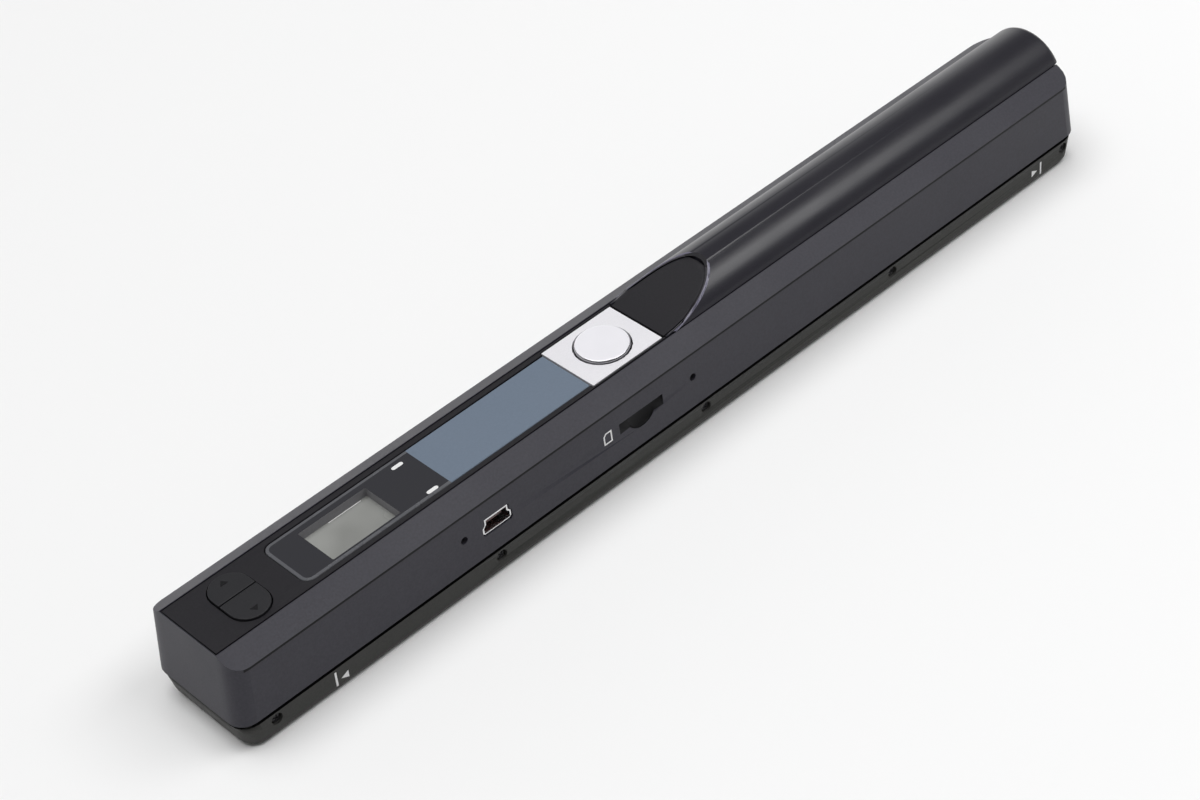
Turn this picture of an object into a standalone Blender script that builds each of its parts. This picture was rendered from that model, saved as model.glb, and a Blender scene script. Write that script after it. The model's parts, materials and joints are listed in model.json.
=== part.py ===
"""Hand-held wand document scanner, modelled piece by piece at its real size.

The wand lies along X on its rubber rollers, with the page at z = 0. The control panel is at the
-X end and the round battery cover at the +X end. The sockets are in the -Y side. The origin is on
the page, under the middle of the wand. All lengths are in metres.
"""

import math

import bmesh
import bpy
from mathutils import Matrix, Vector

# Whole wand
LENGTH = 0.253
WIDTH = 0.0288
STAND_OFF = 0.0004
LOWER_HEIGHT = 0.0069
SIDE_HEIGHT = 0.0142
CHAMFER_RISE = 0.0028
TOP_WIDTH_SHARE = 0.6403
BARREL_RISE = 0.0057
BARREL_OVERHANG = 0.00008
CORNER_RADIUS = 0.004
TRAY_CORNER = 0.001
SIDE_DRAFT = 0.00036
END_DRAFT = 0.00145

# Clearances
GAP = 0.0003
FIT = 0.00022
FILM_GAP = 0.0001
RUNNING = 0.0002
OVERRUN = 0.001

# Walls
WALL = 0.0018
END_WALL = 0.002
DECK = 0.0034
FLOOR = 0.0014
LOWER_STEP = 0.00025
LOWER_SIDE_DRAFT = 0.00025
LOWER_END_DRAFT = 0.0015
LOWER_EDGE = 0.0011
GROOVE_DEPTH = 0.0005
GROOVE_HEIGHT = 0.0008
PANEL_LAND = 0.00017
PANEL_LEDGE = 0.00115
END_LEDGE = 0.006

# Control panel
PANEL_THICK = 0.002
PANEL_END = 0.00295
KEYS_FROM_END = 0.0148
KEYS_SIDE = 0.00152
KEYS_WIDE = 0.0096
KEY_SPLIT_Y = 0.0006
KEY_RISE = 0.0004
KEY_TRAVEL = 0.0005
KEY_BODY = 0.0032
KEY_STEM = 0.003
LENS_FROM_END = 0.0259
LENS_SIDE = 0.00192
LENS_THICK = 0.0008
LENS_CORNER = 0.0022
LENS_INSET = 0.0001
FILM_THICK = 0.0002
LABEL_FROM_LENS = 0.038
PLATE_LENGTH = 0.0201
PLATE_SIDE = 0.00117
PLATE_LENS_GAP = 0.00036
PLATE_GROOVE = 0.0005
PLATE_THICK = 0.0008
PLATE_GAP = 0.0002
BUTTON_FROM_PLATE_END = 0.00985
BUTTON_SIDE = 0.00185
BUTTON_RISE = 0.0007
BUTTON_DOME = 0.0004
BUTTON_EDGE = 0.0005
BUTTON_FLANGE = 0.001
BUTTON_FLANGE_THICK = 0.0006
BUTTON_STEM = 0.0018
BUTTON_TRAVEL = 0.0006
PRESS_MARGIN = 0.0001

# Display and light pipes
WINDOW_LENGTH = 0.0176
WINDOW_SIDE = 0.0017
WINDOW_FROM_LENS = 0.0078
WINDOW_Y = -0.0005
WINDOW_RIM = 0.0004
LCD_MARGIN = 0.0011
LCD_THICK = 0.0016
HOLDER_WALL = 0.0006
LIGHT_LENGTH = 0.0029
LIGHT_WIDTH = 0.001
LIGHT_FROM_LENS = 0.034
LIGHT_SIDE = 0.0018

# Main board
BOARD_THICK = 0.0012
BOARD_UNDER = 0.0168
BOARD_END_GAP = 0.003
BOARD_FAR_X = 0.006
BOARD_POST_RADIUS = 0.0017
BOARD_POST_EDGE = 0.0018
BOARD_POST_FROM_END = 0.0425
BOARD_POST_FROM_CARD = 0.00725
SMALL_SHANK = 0.0007
SMALL_HEAD = 0.0013
SMALL_HEAD_THICK = 0.0008
TACT_SIZE = 0.0046
TACT_HEIGHT = 0.0016
TACT_BUTTON = 0.001
TACT_BUTTON_RISE = 0.0003

# Sockets and recessed switches in the near side
USB_FROM_END = 0.0686
USB_WIDTH = 0.0077
USB_HEIGHT = 0.0039
USB_SHOULDER = 0.0007
USB_SHOULDER_DROP = 0.0019
USB_CORNER = 0.00045
USB_DEPTH = 0.009
USB_METAL = 0.00035
USB_INSET = 0.0002
TONGUE_WIDTH = 0.0048
TONGUE_THICK = 0.0009
TONGUE_INSET = 0.0012
CARD_X = -0.01675
CARD_SLIT = 0.0119
CARD_SLIT_HEIGHT = 0.0008
CARD_Z = 0.0161
CARD_SOCKET_SIDE = 0.001
CARD_SOCKET_DEPTH = 0.015
CARD_SOCKET_UNDER = 0.0008
CARD_POCKET_DEPTH = 0.013
SLIT_LEAD_SIDE = 0.0004
SLIT_LEAD_DROP = 0.0018
SLIT_LEAD_DEPTH = 0.0009
SCOOP_LENGTH = 0.0084
SCOOP_DROP = 0.0041
SCOOP_DEPTH = 0.00135
TIME_HOLE_FROM_END = 0.0597
FORMAT_HOLE_X = -0.0014
PINHOLE_Z = 0.0152
PINHOLE_RADIUS = 0.0009
SIDE_SWITCH_LENGTH = 0.006
SIDE_SWITCH_DEPTH = 0.0035
SIDE_SWITCH_HEIGHT = 0.0032
PLUNGER_RADIUS = 0.0006
PLUNGER_INSET = 0.0012
PLUNGER_SOCKET = 0.0014
PLUNGER_TRAVEL = 0.00025

# Screws through the lower side walls
SCREW_NEAR_END = 0.0086
SCREW_FAR_END = 0.0052
SCREW_COUNT = 5
SCREW_DROP = 0.0028
SCREW_HEAD_RADIUS = 0.0011
SCREW_HEAD_THICK = 0.00055
SCREW_RECESS = 0.0012
SCREW_SHANK = 0.0006
TAB_WIDTH = 0.0024
TAB_THICK = 0.0015
TAB_DROP = 0.005
TAB_RISE = 0.004
TAB_ROOT = 0.0006

# Contact image sensor
SCAN_NEAR_END = 0.0236
SCAN_FAR_END = 0.0134
SENSOR_END = 0.003
SENSOR_HEIGHT = 0.0085
SENSOR_WALL = 0.001
SENSOR_WEB = 0.0016
SENSOR_WEB_UP = 0.005
SENSOR_POCKET = 0.002
GLASS_THICK = 0.0012
GLASS_LEDGE = 0.0009
ROD_LENS_WIDTH = 0.0014
ROD_LENS_HEIGHT = 0.0044
ROD_LENS_LIFT = 0.002
SENSOR_BOARD_THICK = 0.001
CABLE_THICK = 0.0003
CABLE_SIDE = 0.00185
CABLE_LENGTH = 0.018
CABLE_FLAT = 0.004
CABLE_FROM_END = 0.008

# Rollers and their shafts
ROLLER_RADIUS = 0.0031
ROLLER_SHARE = 0.5686
ROLLER_POST_GAP = 0.0012
SHAFT_RADIUS = 0.0009
JOURNAL_RADIUS = 0.0006
POST_THICK = 0.001
POST_HALF = 0.0016
POST_HEIGHT = 0.0034
SHAFT_END = 0.0015

# Encoder gears
GEAR_MODULE = 0.0003
TOOTH_DEPTH_SHARE = 1.25
TOOTH_ROOT_SHARE = 0.3
TOOTH_TIP_SHARE = 0.1
PINION_TEETH = 12
WHEEL_TEETH = 30
GEAR_FACE = 0.0018
GEAR_EXTRA = 0.0001
GEAR_LEAN = math.radians(45)
GEAR_SIDE_GAP = 0.0011
DISC_RADIUS = 0.0052
DISC_THICK = 0.0006
DISC_SLOTS = 16
DISC_START_SHARE = 0.25
DISC_SLOT_DEPTH = 0.0014
HUB_RADIUS = 0.0019
PIN_RADIUS = 0.00075
PIN_POST_THICK = 0.001
EYE_WALL = 0.0005
EYE_GAP = 0.0004
EYE_WIDTH = 0.003
EYE_OVERLAP = 0.0018

# Batteries and their tray
CELL_SIDE_GAP = 0.0004
BAY_FROM_RAMP = 0.01591
CELL_NUB = 0.001
CELL_NUB_RADIUS = 0.0027
CELL_EDGE = 0.0006
CELL_COUNT = 2
CELL_RISE = 0.00104
TRAY_WALL = 0.001
TRAY_FLANGE = 0.0012
SPRING_SPACE = 0.0052
SPRING_RADIUS = 0.0032
SPRING_WIRE = 0.0003
SPRING_TURNS = 4
CONTACT_THICK = 0.0004
CONTACT_SIZE = 0.0095

# Battery cover
COVER_WALL = 0.0014
COVER_START = 0.00025
COVER_SKIRT = 0.0011
COVER_NECK_GAP = 0.0003
RAIL_THICK = 0.0012
RAIL_OUT = 0.0012
RAIL_LIFT = 0.0003
RAMP_SLOPE = 0.12
RAMP_LENGTH = 0.0201
RAMP_FLANGE = 0.0006
RAMP_LIP = 0.0004
RAMP_SIDE_LIP = 0.00045
RAMP_BODY_GAP = 0.0004
RAMP_NOSE_GAP = 0.00055
COVER_END_BASE = 0.0005
COVER_END_ROUND = 0.0016
COVER_END_CAP = 0.003

# Smoothness of round shapes
CORNER_STEPS = 5
ROUND_STEPS = 24
SMALL_STEPS = 12
ARC_STEPS = 26
BARREL_STEPS = 64
RAMP_STEPS = 8
WELD = 0.000001

# Widths, radii and levels worked out from the sizes above
TOP_WIDTH = WIDTH * TOP_WIDTH_SHARE
BARREL_HALF = TOP_WIDTH / 2 + BARREL_OVERHANG
BARREL_RADIUS = (BARREL_HALF ** 2 + BARREL_RISE ** 2) / (2 * BARREL_RISE)
KEYS_LONG = TOP_WIDTH - 2 * KEYS_SIDE
LENS_WIDTH = TOP_WIDTH - 2 * LENS_SIDE
PLATE_WIDTH = TOP_WIDTH - 2 * PLATE_SIDE
BUTTON_RADIUS = PLATE_WIDTH / 2 - BUTTON_SIDE
WINDOW_WIDTH = LENS_WIDTH - 2 * WINDOW_SIDE
LIGHT_SPACING = LENS_WIDTH - 2 * LIGHT_SIDE
SEAM_Z = STAND_OFF + LOWER_HEIGHT
SIDE_TOP_Z = SEAM_Z + SIDE_HEIGHT
TOP_Z = SIDE_TOP_Z + CHAMFER_RISE
BARREL_TOP_Z = TOP_Z + BARREL_RISE
BARREL_CENTRE_Z = BARREL_TOP_Z - BARREL_RADIUS
CEILING_Z = TOP_Z - DECK
FLOOR_Z = STAND_OFF + FLOOR
UPPER_BOTTOM_Z = SEAM_Z + GAP / 2
LOWER_TOP_Z = SEAM_Z - GAP / 2
BOARD_TOP_Z = BOARD_UNDER + BOARD_THICK
BOARD_SEAT_Z = BOARD_TOP_Z + GAP
PANEL_UNDER_Z = TOP_Z - PANEL_THICK

PARTS = "wand_scanner"
CUTTERS = "cutters"
TURN = 2 * math.pi
ALONG = {
    "X": Matrix(((0, 0, 1), (1, 0, 0), (0, 1, 0))),
    "Y": Matrix(((1, 0, 0), (0, 0, -1), (0, 1, 0))),
    "Z": Matrix.Identity(3),
}


def upper_half_width(z):
    """Half width of the upper shell at a height."""
    return WIDTH / 2 - SIDE_DRAFT / SIDE_HEIGHT * (z - SEAM_Z)


def upper_half_length(z):
    """Half length of the upper shell at a height."""
    return LENGTH / 2 - END_DRAFT / SIDE_HEIGHT * (z - SEAM_Z)


def lower_half_width(z):
    """Half width of the lower shell at a height."""
    return WIDTH / 2 - LOWER_STEP - LOWER_SIDE_DRAFT / LOWER_HEIGHT * (SEAM_Z - z)


def lower_half_length(z):
    """Half length of the lower shell at a height."""
    return LENGTH / 2 - LOWER_STEP - LOWER_END_DRAFT / LOWER_HEIGHT * (SEAM_Z - z)


# Places worked out from the sizes above
NEAR_END_X = -upper_half_length(TOP_Z)
PANEL_NEAR_X = NEAR_END_X + PANEL_LAND + FIT
PANEL_FAR_X = -PANEL_END
PANEL_HALF = TOP_WIDTH / 2 - PANEL_LAND - FIT
PLATE_FAR_X = PANEL_FAR_X - PLATE_GROOVE
PLATE_NEAR_X = PLATE_FAR_X - PLATE_LENGTH
BUTTON_X = PLATE_FAR_X - BUTTON_FROM_PLATE_END
KEYS_X = KEYS_FROM_END - LENGTH / 2
LENS_START_X = LENS_FROM_END - LENGTH / 2
LENS_END_X = PLATE_NEAR_X - PLATE_LENS_GAP
LENS_TOP_Z = TOP_Z - LENS_INSET
LENS_UNDER_Z = LENS_TOP_Z - LENS_THICK
FILM_TOP_Z = LENS_UNDER_Z - FILM_GAP
FILM_UNDER_Z = FILM_TOP_Z - FILM_THICK
LENS_POCKET_Z = FILM_UNDER_Z - FILM_GAP
LABEL_START_X = LENS_START_X + LABEL_FROM_LENS
WINDOW_START_X = LENS_START_X + WINDOW_FROM_LENS
WINDOW_END_X = WINDOW_START_X + WINDOW_LENGTH
LIGHT_X = LENS_START_X + LIGHT_FROM_LENS
LIGHT_PLACES = {
    "scan_light_pipe": WINDOW_Y + LIGHT_SPACING / 2,
    "error_light_pipe": WINDOW_Y - LIGHT_SPACING / 2,
}
BOARD_NEAR_X = -upper_half_length(BOARD_UNDER) + END_WALL + BOARD_END_GAP
BOARD_HALF = upper_half_width(BOARD_TOP_Z) - WALL - GAP
BOARD_POST_Y = BOARD_HALF - BOARD_POST_EDGE
BOARD_POST_PLACES = (BOARD_POST_FROM_END - LENGTH / 2, CARD_X - BOARD_POST_FROM_CARD)
USB_X = USB_FROM_END - LENGTH / 2
TIME_HOLE_X = TIME_HOLE_FROM_END - LENGTH / 2
SCREW_Z = SEAM_Z - SCREW_DROP
SCREW_PITCH = (LENGTH - SCREW_NEAR_END - SCREW_FAR_END) / (SCREW_COUNT - 1)
SCREW_PLACES = [SCREW_NEAR_END - LENGTH / 2 + SCREW_PITCH * n for n in range(SCREW_COUNT)]
LOWER_INNER = lower_half_width(FLOOR_Z) - WALL
TAB_OUTER = LOWER_INNER - GAP
TAB_INNER = TAB_OUTER - TAB_THICK
SCAN_WIDTH = LENGTH - SCAN_NEAR_END - SCAN_FAR_END
SCAN_MIDDLE_X = (SCAN_NEAR_END - SCAN_FAR_END) / 2
SENSOR_NEAR_X = SCAN_MIDDLE_X - SCAN_WIDTH / 2 - SENSOR_END
SENSOR_FAR_X = SCAN_MIDDLE_X + SCAN_WIDTH / 2 + SENSOR_END
ROLLER_Y = LOWER_INNER - GAP - ROLLER_RADIUS
ROLLER_Z = ROLLER_RADIUS
ROLLER_LENGTH = SCREW_PITCH * ROLLER_SHARE
ROLLER_PLACES = [(SCREW_PLACES[0] + SCREW_PLACES[1]) / 2, (SCREW_PLACES[-2] + SCREW_PLACES[-1]) / 2]
SENSOR_HALF = ROLLER_Y - ROLLER_RADIUS - GAP
SENSOR_UNDER_Z = FLOOR_Z + GAP
SENSOR_TOP_Z = SENSOR_UNDER_Z + SENSOR_HEIGHT
GLASS_HALF = SENSOR_HALF - GLASS_LEDGE - GAP
WEB_LOW_Z = SENSOR_UNDER_Z + SENSOR_WEB_UP
WEB_HIGH_Z = WEB_LOW_Z + SENSOR_WEB
SENSOR_BOARD_Z = WEB_HIGH_Z + GAP
ROLLER_NEAR_X = ROLLER_PLACES[0] - ROLLER_LENGTH / 2
POST_NEAR_X = min(SENSOR_NEAR_X - GAP, ROLLER_NEAR_X - ROLLER_POST_GAP) - POST_THICK / 2
POST_FAR_X = ROLLER_PLACES[-1] + ROLLER_LENGTH / 2 + SHAFT_END + POST_THICK
SHAFT_NEAR_X = POST_NEAR_X - POST_THICK / 2 - SHAFT_END
SHAFT_FAR_X = POST_FAR_X + POST_THICK / 2 + SHAFT_END
DISC_FAR_X = POST_NEAR_X - POST_THICK / 2 - GEAR_SIDE_GAP
DISC_NEAR_X = DISC_FAR_X - DISC_THICK
GEAR_FAR_X = DISC_NEAR_X - EYE_GAP - EYE_WALL - GAP
GEAR_NEAR_X = GEAR_FAR_X - GEAR_FACE
PINION_PITCH = GEAR_MODULE * PINION_TEETH / 2
WHEEL_PITCH = GEAR_MODULE * WHEEL_TEETH / 2
GEAR_CENTRES = PINION_PITCH + WHEEL_PITCH + GEAR_EXTRA
WHEEL_Y = ROLLER_Y - GEAR_CENTRES * math.cos(GEAR_LEAN)
WHEEL_Z = ROLLER_Z + GEAR_CENTRES * math.sin(GEAR_LEAN)
DRIVE_END_X = GEAR_NEAR_X - GAP
PIN_POST_NEAR_X = GEAR_NEAR_X - GEAR_SIDE_GAP - PIN_POST_THICK / 2
COVER_X = PANEL_FAR_X + COVER_START
RAMP_X = PANEL_FAR_X
BAY_FAR_X = upper_half_length(TOP_Z) - END_WALL - GAP - TRAY_WALL - OVERRUN
CELLS_FAR_X = BAY_FAR_X - CONTACT_THICK - GAP - GAP
BAY_NEAR_X = RAMP_X + BAY_FROM_RAMP
CELLS_NEAR_X = BAY_NEAR_X + SPRING_SPACE
CELL_LENGTH = (CELLS_FAR_X - CELLS_NEAR_X - (CELL_COUNT - 1) * GAP) / CELL_COUNT
TRAY_TOP_Z = CEILING_Z - GAP
RAIL_LOW_Z = CEILING_Z + RAIL_LIFT
RAIL_HIGH_Z = RAIL_LOW_Z + RAIL_THICK
LIP_Z = RAIL_HIGH_Z + GAP
SLOT_HALF = TOP_WIDTH / 2 - PANEL_LAND
NECK_HALF = SLOT_HALF - COVER_NECK_GAP
RAIL_HALF = NECK_HALF + RAIL_OUT
GROOVE_HALF = RAIL_HALF + GAP
SKIRT_INNER = NECK_HALF - COVER_SKIRT
CELL_RADIUS = SKIRT_INNER - CELL_SIDE_GAP
CELL_Z = BARREL_CENTRE_Z + CELL_RISE
BAY_HALF = CELL_RADIUS + GAP
BAY_FLOOR_Z = CELL_Z - CELL_RADIUS - GAP
RAMP_FLANGE_RADIUS = BARREL_RADIUS - RAMP_LIP - GAP
RAMP_BODY_RADIUS = BARREL_RADIUS - COVER_WALL - GAP
RAMP_FLANGE_HALF = NECK_HALF - RAMP_SIDE_LIP - GAP
RAMP_BODY_HALF = SKIRT_INNER - GAP
RAMP_CURVE = (BARREL_RISE - RAMP_SLOPE * RAMP_LENGTH) / RAMP_LENGTH ** 2
COVER_BASE_Z = TOP_Z + GAP
COVER_FAR_X = LENGTH / 2 - COVER_END_BASE


def clear_scene():
    """Removes whatever the scene holds and makes the two collections."""
    for item in list(bpy.context.scene.objects):
        bpy.data.objects.remove(item, do_unlink=True)
    for name in (PARTS, CUTTERS):
        group = bpy.data.collections.new(name)
        bpy.context.scene.collection.children.link(group)


def finish_material(name, colour, roughness, metallic=0.0, alpha=1.0):
    """A Principled material with the piece's own colour, roughness and metallic value."""
    material = bpy.data.materials.new(name)
    material.use_nodes = True
    shader = material.node_tree.nodes["Principled BSDF"]
    shader.inputs["Base Color"].default_value = (*colour, 1.0)
    shader.inputs["Roughness"].default_value = roughness
    shader.inputs["Metallic"].default_value = metallic
    shader.inputs["Alpha"].default_value = alpha
    material.diffuse_color = (*colour, alpha)
    return material


def place(name, mesh, location=(0, 0, 0)):
    """Puts a mesh in the scene as a working object."""
    item = bpy.data.objects.new(name, mesh)
    item.location = location
    bpy.data.collections[CUTTERS].objects.link(item)
    item.hide_render = True
    item.display_type = "WIRE"
    return item


def piece(item, name, finish, origin=None):
    """Makes a working object a named piece of the wand, with its origin where it is told."""
    item.name = name
    item.data.name = name
    bpy.data.collections[CUTTERS].objects.unlink(item)
    bpy.data.collections[PARTS].objects.link(item)
    item.hide_render = False
    item.display_type = "TEXTURED"
    item.data.materials.clear()
    item.data.materials.append(bpy.data.materials[finish])
    if origin is not None:
        shift = Vector(origin) - item.location
        item.data.transform(Matrix.Translation(-shift))
        item.location = origin
    return item


def mesh_from(build, name):
    """A mesh from a bmesh, which is freed."""
    mesh = bpy.data.meshes.new(name)
    build.to_mesh(mesh)
    build.free()
    return mesh


def block(name, x, y, z):
    """A box between two places on each axis."""
    build = bmesh.new()
    size = Vector((x[1] - x[0], y[1] - y[0], z[1] - z[0]))
    centre = Vector((x[0] + x[1], y[0] + y[1], z[0] + z[1])) / 2
    bmesh.ops.create_cube(build, size=1.0, matrix=Matrix.Diagonal((*size, 1)))
    return place(name, mesh_from(build, name), centre)


def rod(name, axis, across, low, high, radius, steps=SMALL_STEPS):
    """A cylinder along an axis, from low to high, through a place across it."""
    build = bmesh.new()
    bmesh.ops.create_cone(
        build, cap_ends=True, segments=steps, radius1=radius, radius2=radius, depth=high - low
    )
    build.transform(ALONG[axis].to_4x4())
    mesh = mesh_from(build, name)
    mesh.shade_smooth()
    mesh.set_sharp_from_angle(angle=math.radians(40))
    middle = (low + high) / 2
    u, v = across
    centre = {"X": (middle, u, v), "Y": (u, middle, v), "Z": (u, v, middle)}[axis]
    return place(name, mesh, centre)


def prism(name, axis, outlines, low, high):
    """Flat outlines, the first solid and the rest holes, carried along an axis from low to high."""
    curve = bpy.data.curves.new(name, "CURVE")
    curve.dimensions = "2D"
    curve.fill_mode = "BOTH"
    curve.extrude = (high - low) / 2
    for outline in outlines:
        spline = curve.splines.new("POLY")
        spline.points.add(len(outline) - 1)
        for point, (u, v) in zip(spline.points, outline):
            point.co = (u, v, 0, 1)
        spline.use_cyclic_u = True
    guide = bpy.data.objects.new(name, curve)
    mesh = bpy.data.meshes.new_from_object(guide)
    bpy.data.objects.remove(guide)
    build = bmesh.new()
    build.from_mesh(mesh)
    bmesh.ops.remove_doubles(build, verts=build.verts, dist=WELD)
    bmesh.ops.dissolve_limit(
        build, angle_limit=math.radians(0.1), verts=build.verts, edges=build.edges
    )
    bmesh.ops.recalc_face_normals(build, faces=build.faces)
    build.transform(ALONG[axis].to_4x4())
    build.to_mesh(mesh)
    build.free()
    middle = (low + high) / 2
    centre = {"X": (middle, 0, 0), "Y": (0, middle, 0), "Z": (0, 0, middle)}[axis]
    return place(name, mesh, centre)


def drafted_box(name, lengths, widths, heights, corner, bottom_edge=0.0):
    """A box whose sides lean, with round upright corners and, if asked, a round bottom edge."""
    build = bmesh.new()
    bmesh.ops.create_cube(build, size=2.0)
    for vert in build.verts:
        level = 1 if vert.co.z > 0 else 0
        vert.co.x *= lengths[level]
        vert.co.y *= widths[level]
        vert.co.z = heights[level]
    upright = [e for e in build.edges if abs(e.verts[0].co.z - e.verts[1].co.z) > WELD]
    bmesh.ops.bevel(build, geom=upright, offset=corner, segments=CORNER_STEPS, profile=0.5, affect="EDGES")
    if bottom_edge:
        low = [e for e in build.edges if max(v.co.z for v in e.verts) < heights[0] + WELD]
        bmesh.ops.bevel(build, geom=low, offset=bottom_edge, segments=2, profile=0.5, affect="EDGES")
    mesh = mesh_from(build, name)
    mesh.shade_smooth()
    mesh.set_sharp_from_angle(angle=math.radians(35))
    return place(name, mesh)


def turned(name, profile, location, steps, along="Z"):
    """A profile of (radius, height) points, listed top to bottom, turned round an axis."""
    mesh = bpy.data.meshes.new(name)
    points = [(r, 0, h) for r, h in profile]
    mesh.from_pydata(points, [(n, n + 1) for n in range(len(points) - 1)], [])
    item = place(name, mesh, location)
    if along == "X":
        item.rotation_euler = (0, math.pi / 2, 0)
    screw = item.modifiers.new("turn", "SCREW")
    screw.steps = steps
    screw.render_steps = steps
    screw.use_merge_vertices = True
    screw.merge_threshold = WELD
    screw.use_smooth_shade = True
    return item


def boolean(body, tool, operation):
    """Adds a Boolean to a body and puts the tool away with the cutters."""
    change = body.modifiers.new(tool.name, "BOOLEAN")
    change.operation = operation
    change.object = tool
    change.solver = "EXACT"
    return body


def cut(body, *tools):
    """Cuts each tool out of the body."""
    for tool in tools:
        boolean(body, tool, "DIFFERENCE")
    return body


def join(body, *tools):
    """Joins each tool to the body."""
    for tool in tools:
        boolean(body, tool, "UNION")
    return body


def arc(centre, radius, start, end, steps):
    """Points along an arc in the outline's plane."""
    u, v = centre
    angles = [start + (end - start) * n / steps for n in range(steps + 1)]
    return [(u + radius * math.cos(a), v + radius * math.sin(a)) for a in angles]


def stadium(centre, length, width, steps=SMALL_STEPS):
    """A slot outline with round ends, long across Y."""
    x, y = centre
    reach = (length - width) / 2
    far = arc((x, y + reach), width / 2, 0, math.pi, steps)
    near = arc((x, y - reach), width / 2, math.pi, TURN, steps)
    return far + near


def make_materials():
    """The finishes, as the photographed wand shows them."""
    finish_material("shell_black", (0.028, 0.028, 0.031), 0.55)
    finish_material("shell_grey", (0.034, 0.034, 0.033), 0.6)
    finish_material("panel_black", (0.012, 0.012, 0.014), 0.5)
    finish_material("cover_satin", (0.022, 0.022, 0.026), 0.33)
    finish_material("key_black", (0.014, 0.014, 0.016), 0.45)
    finish_material("lens_clear", (0.12, 0.12, 0.13), 0.08, alpha=0.35)
    finish_material("print_black", (0.01, 0.01, 0.012), 0.4)
    finish_material("label_blue", (0.12, 0.17, 0.22), 0.35)
    finish_material("silver_paint", (0.8, 0.8, 0.82), 0.3, 0.5)
    finish_material("button_silver", (0.72, 0.72, 0.74), 0.25, 0.8)
    finish_material("display_glass", (0.27, 0.28, 0.26), 0.15)
    finish_material("frame_plastic", (0.09, 0.09, 0.09), 0.6)
    finish_material("light_diffuser", (0.82, 0.82, 0.8), 0.4)
    finish_material("board_green", (0.02, 0.12, 0.05), 0.5)
    finish_material("switch_black", (0.02, 0.02, 0.02), 0.5)
    finish_material("bright_steel", (0.6, 0.6, 0.62), 0.25, 1.0)
    finish_material("dark_steel", (0.12, 0.12, 0.13), 0.35, 1.0)
    finish_material("socket_plastic", (0.05, 0.015, 0.012), 0.5)
    finish_material("clear_glass", (0.5, 0.55, 0.55), 0.05, alpha=0.35)
    finish_material("roller_rubber", (0.03, 0.03, 0.03), 0.85)
    finish_material("gear_white", (0.75, 0.74, 0.7), 0.5)
    finish_material("ribbon_white", (0.7, 0.7, 0.68), 0.5)
    finish_material("cell_wrap", (0.05, 0.12, 0.07), 0.35)


def chamfer_cutter(side):
    """The wedge above one long top edge of the upper shell."""
    edge = upper_half_width(SIDE_TOP_Z)
    slope = CHAMFER_RISE / (edge - TOP_WIDTH / 2)
    out = edge + OVERRUN
    inner = TOP_WIDTH / 2 - OVERRUN
    outline = [
        (side * out, SIDE_TOP_Z - slope * OVERRUN),
        (side * out, TOP_Z + DECK),
        (side * inner, TOP_Z + DECK),
        (side * inner, TOP_Z + slope * OVERRUN),
    ]
    return prism("chamfer_cutter", "X", [outline], -LENGTH, LENGTH)


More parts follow.
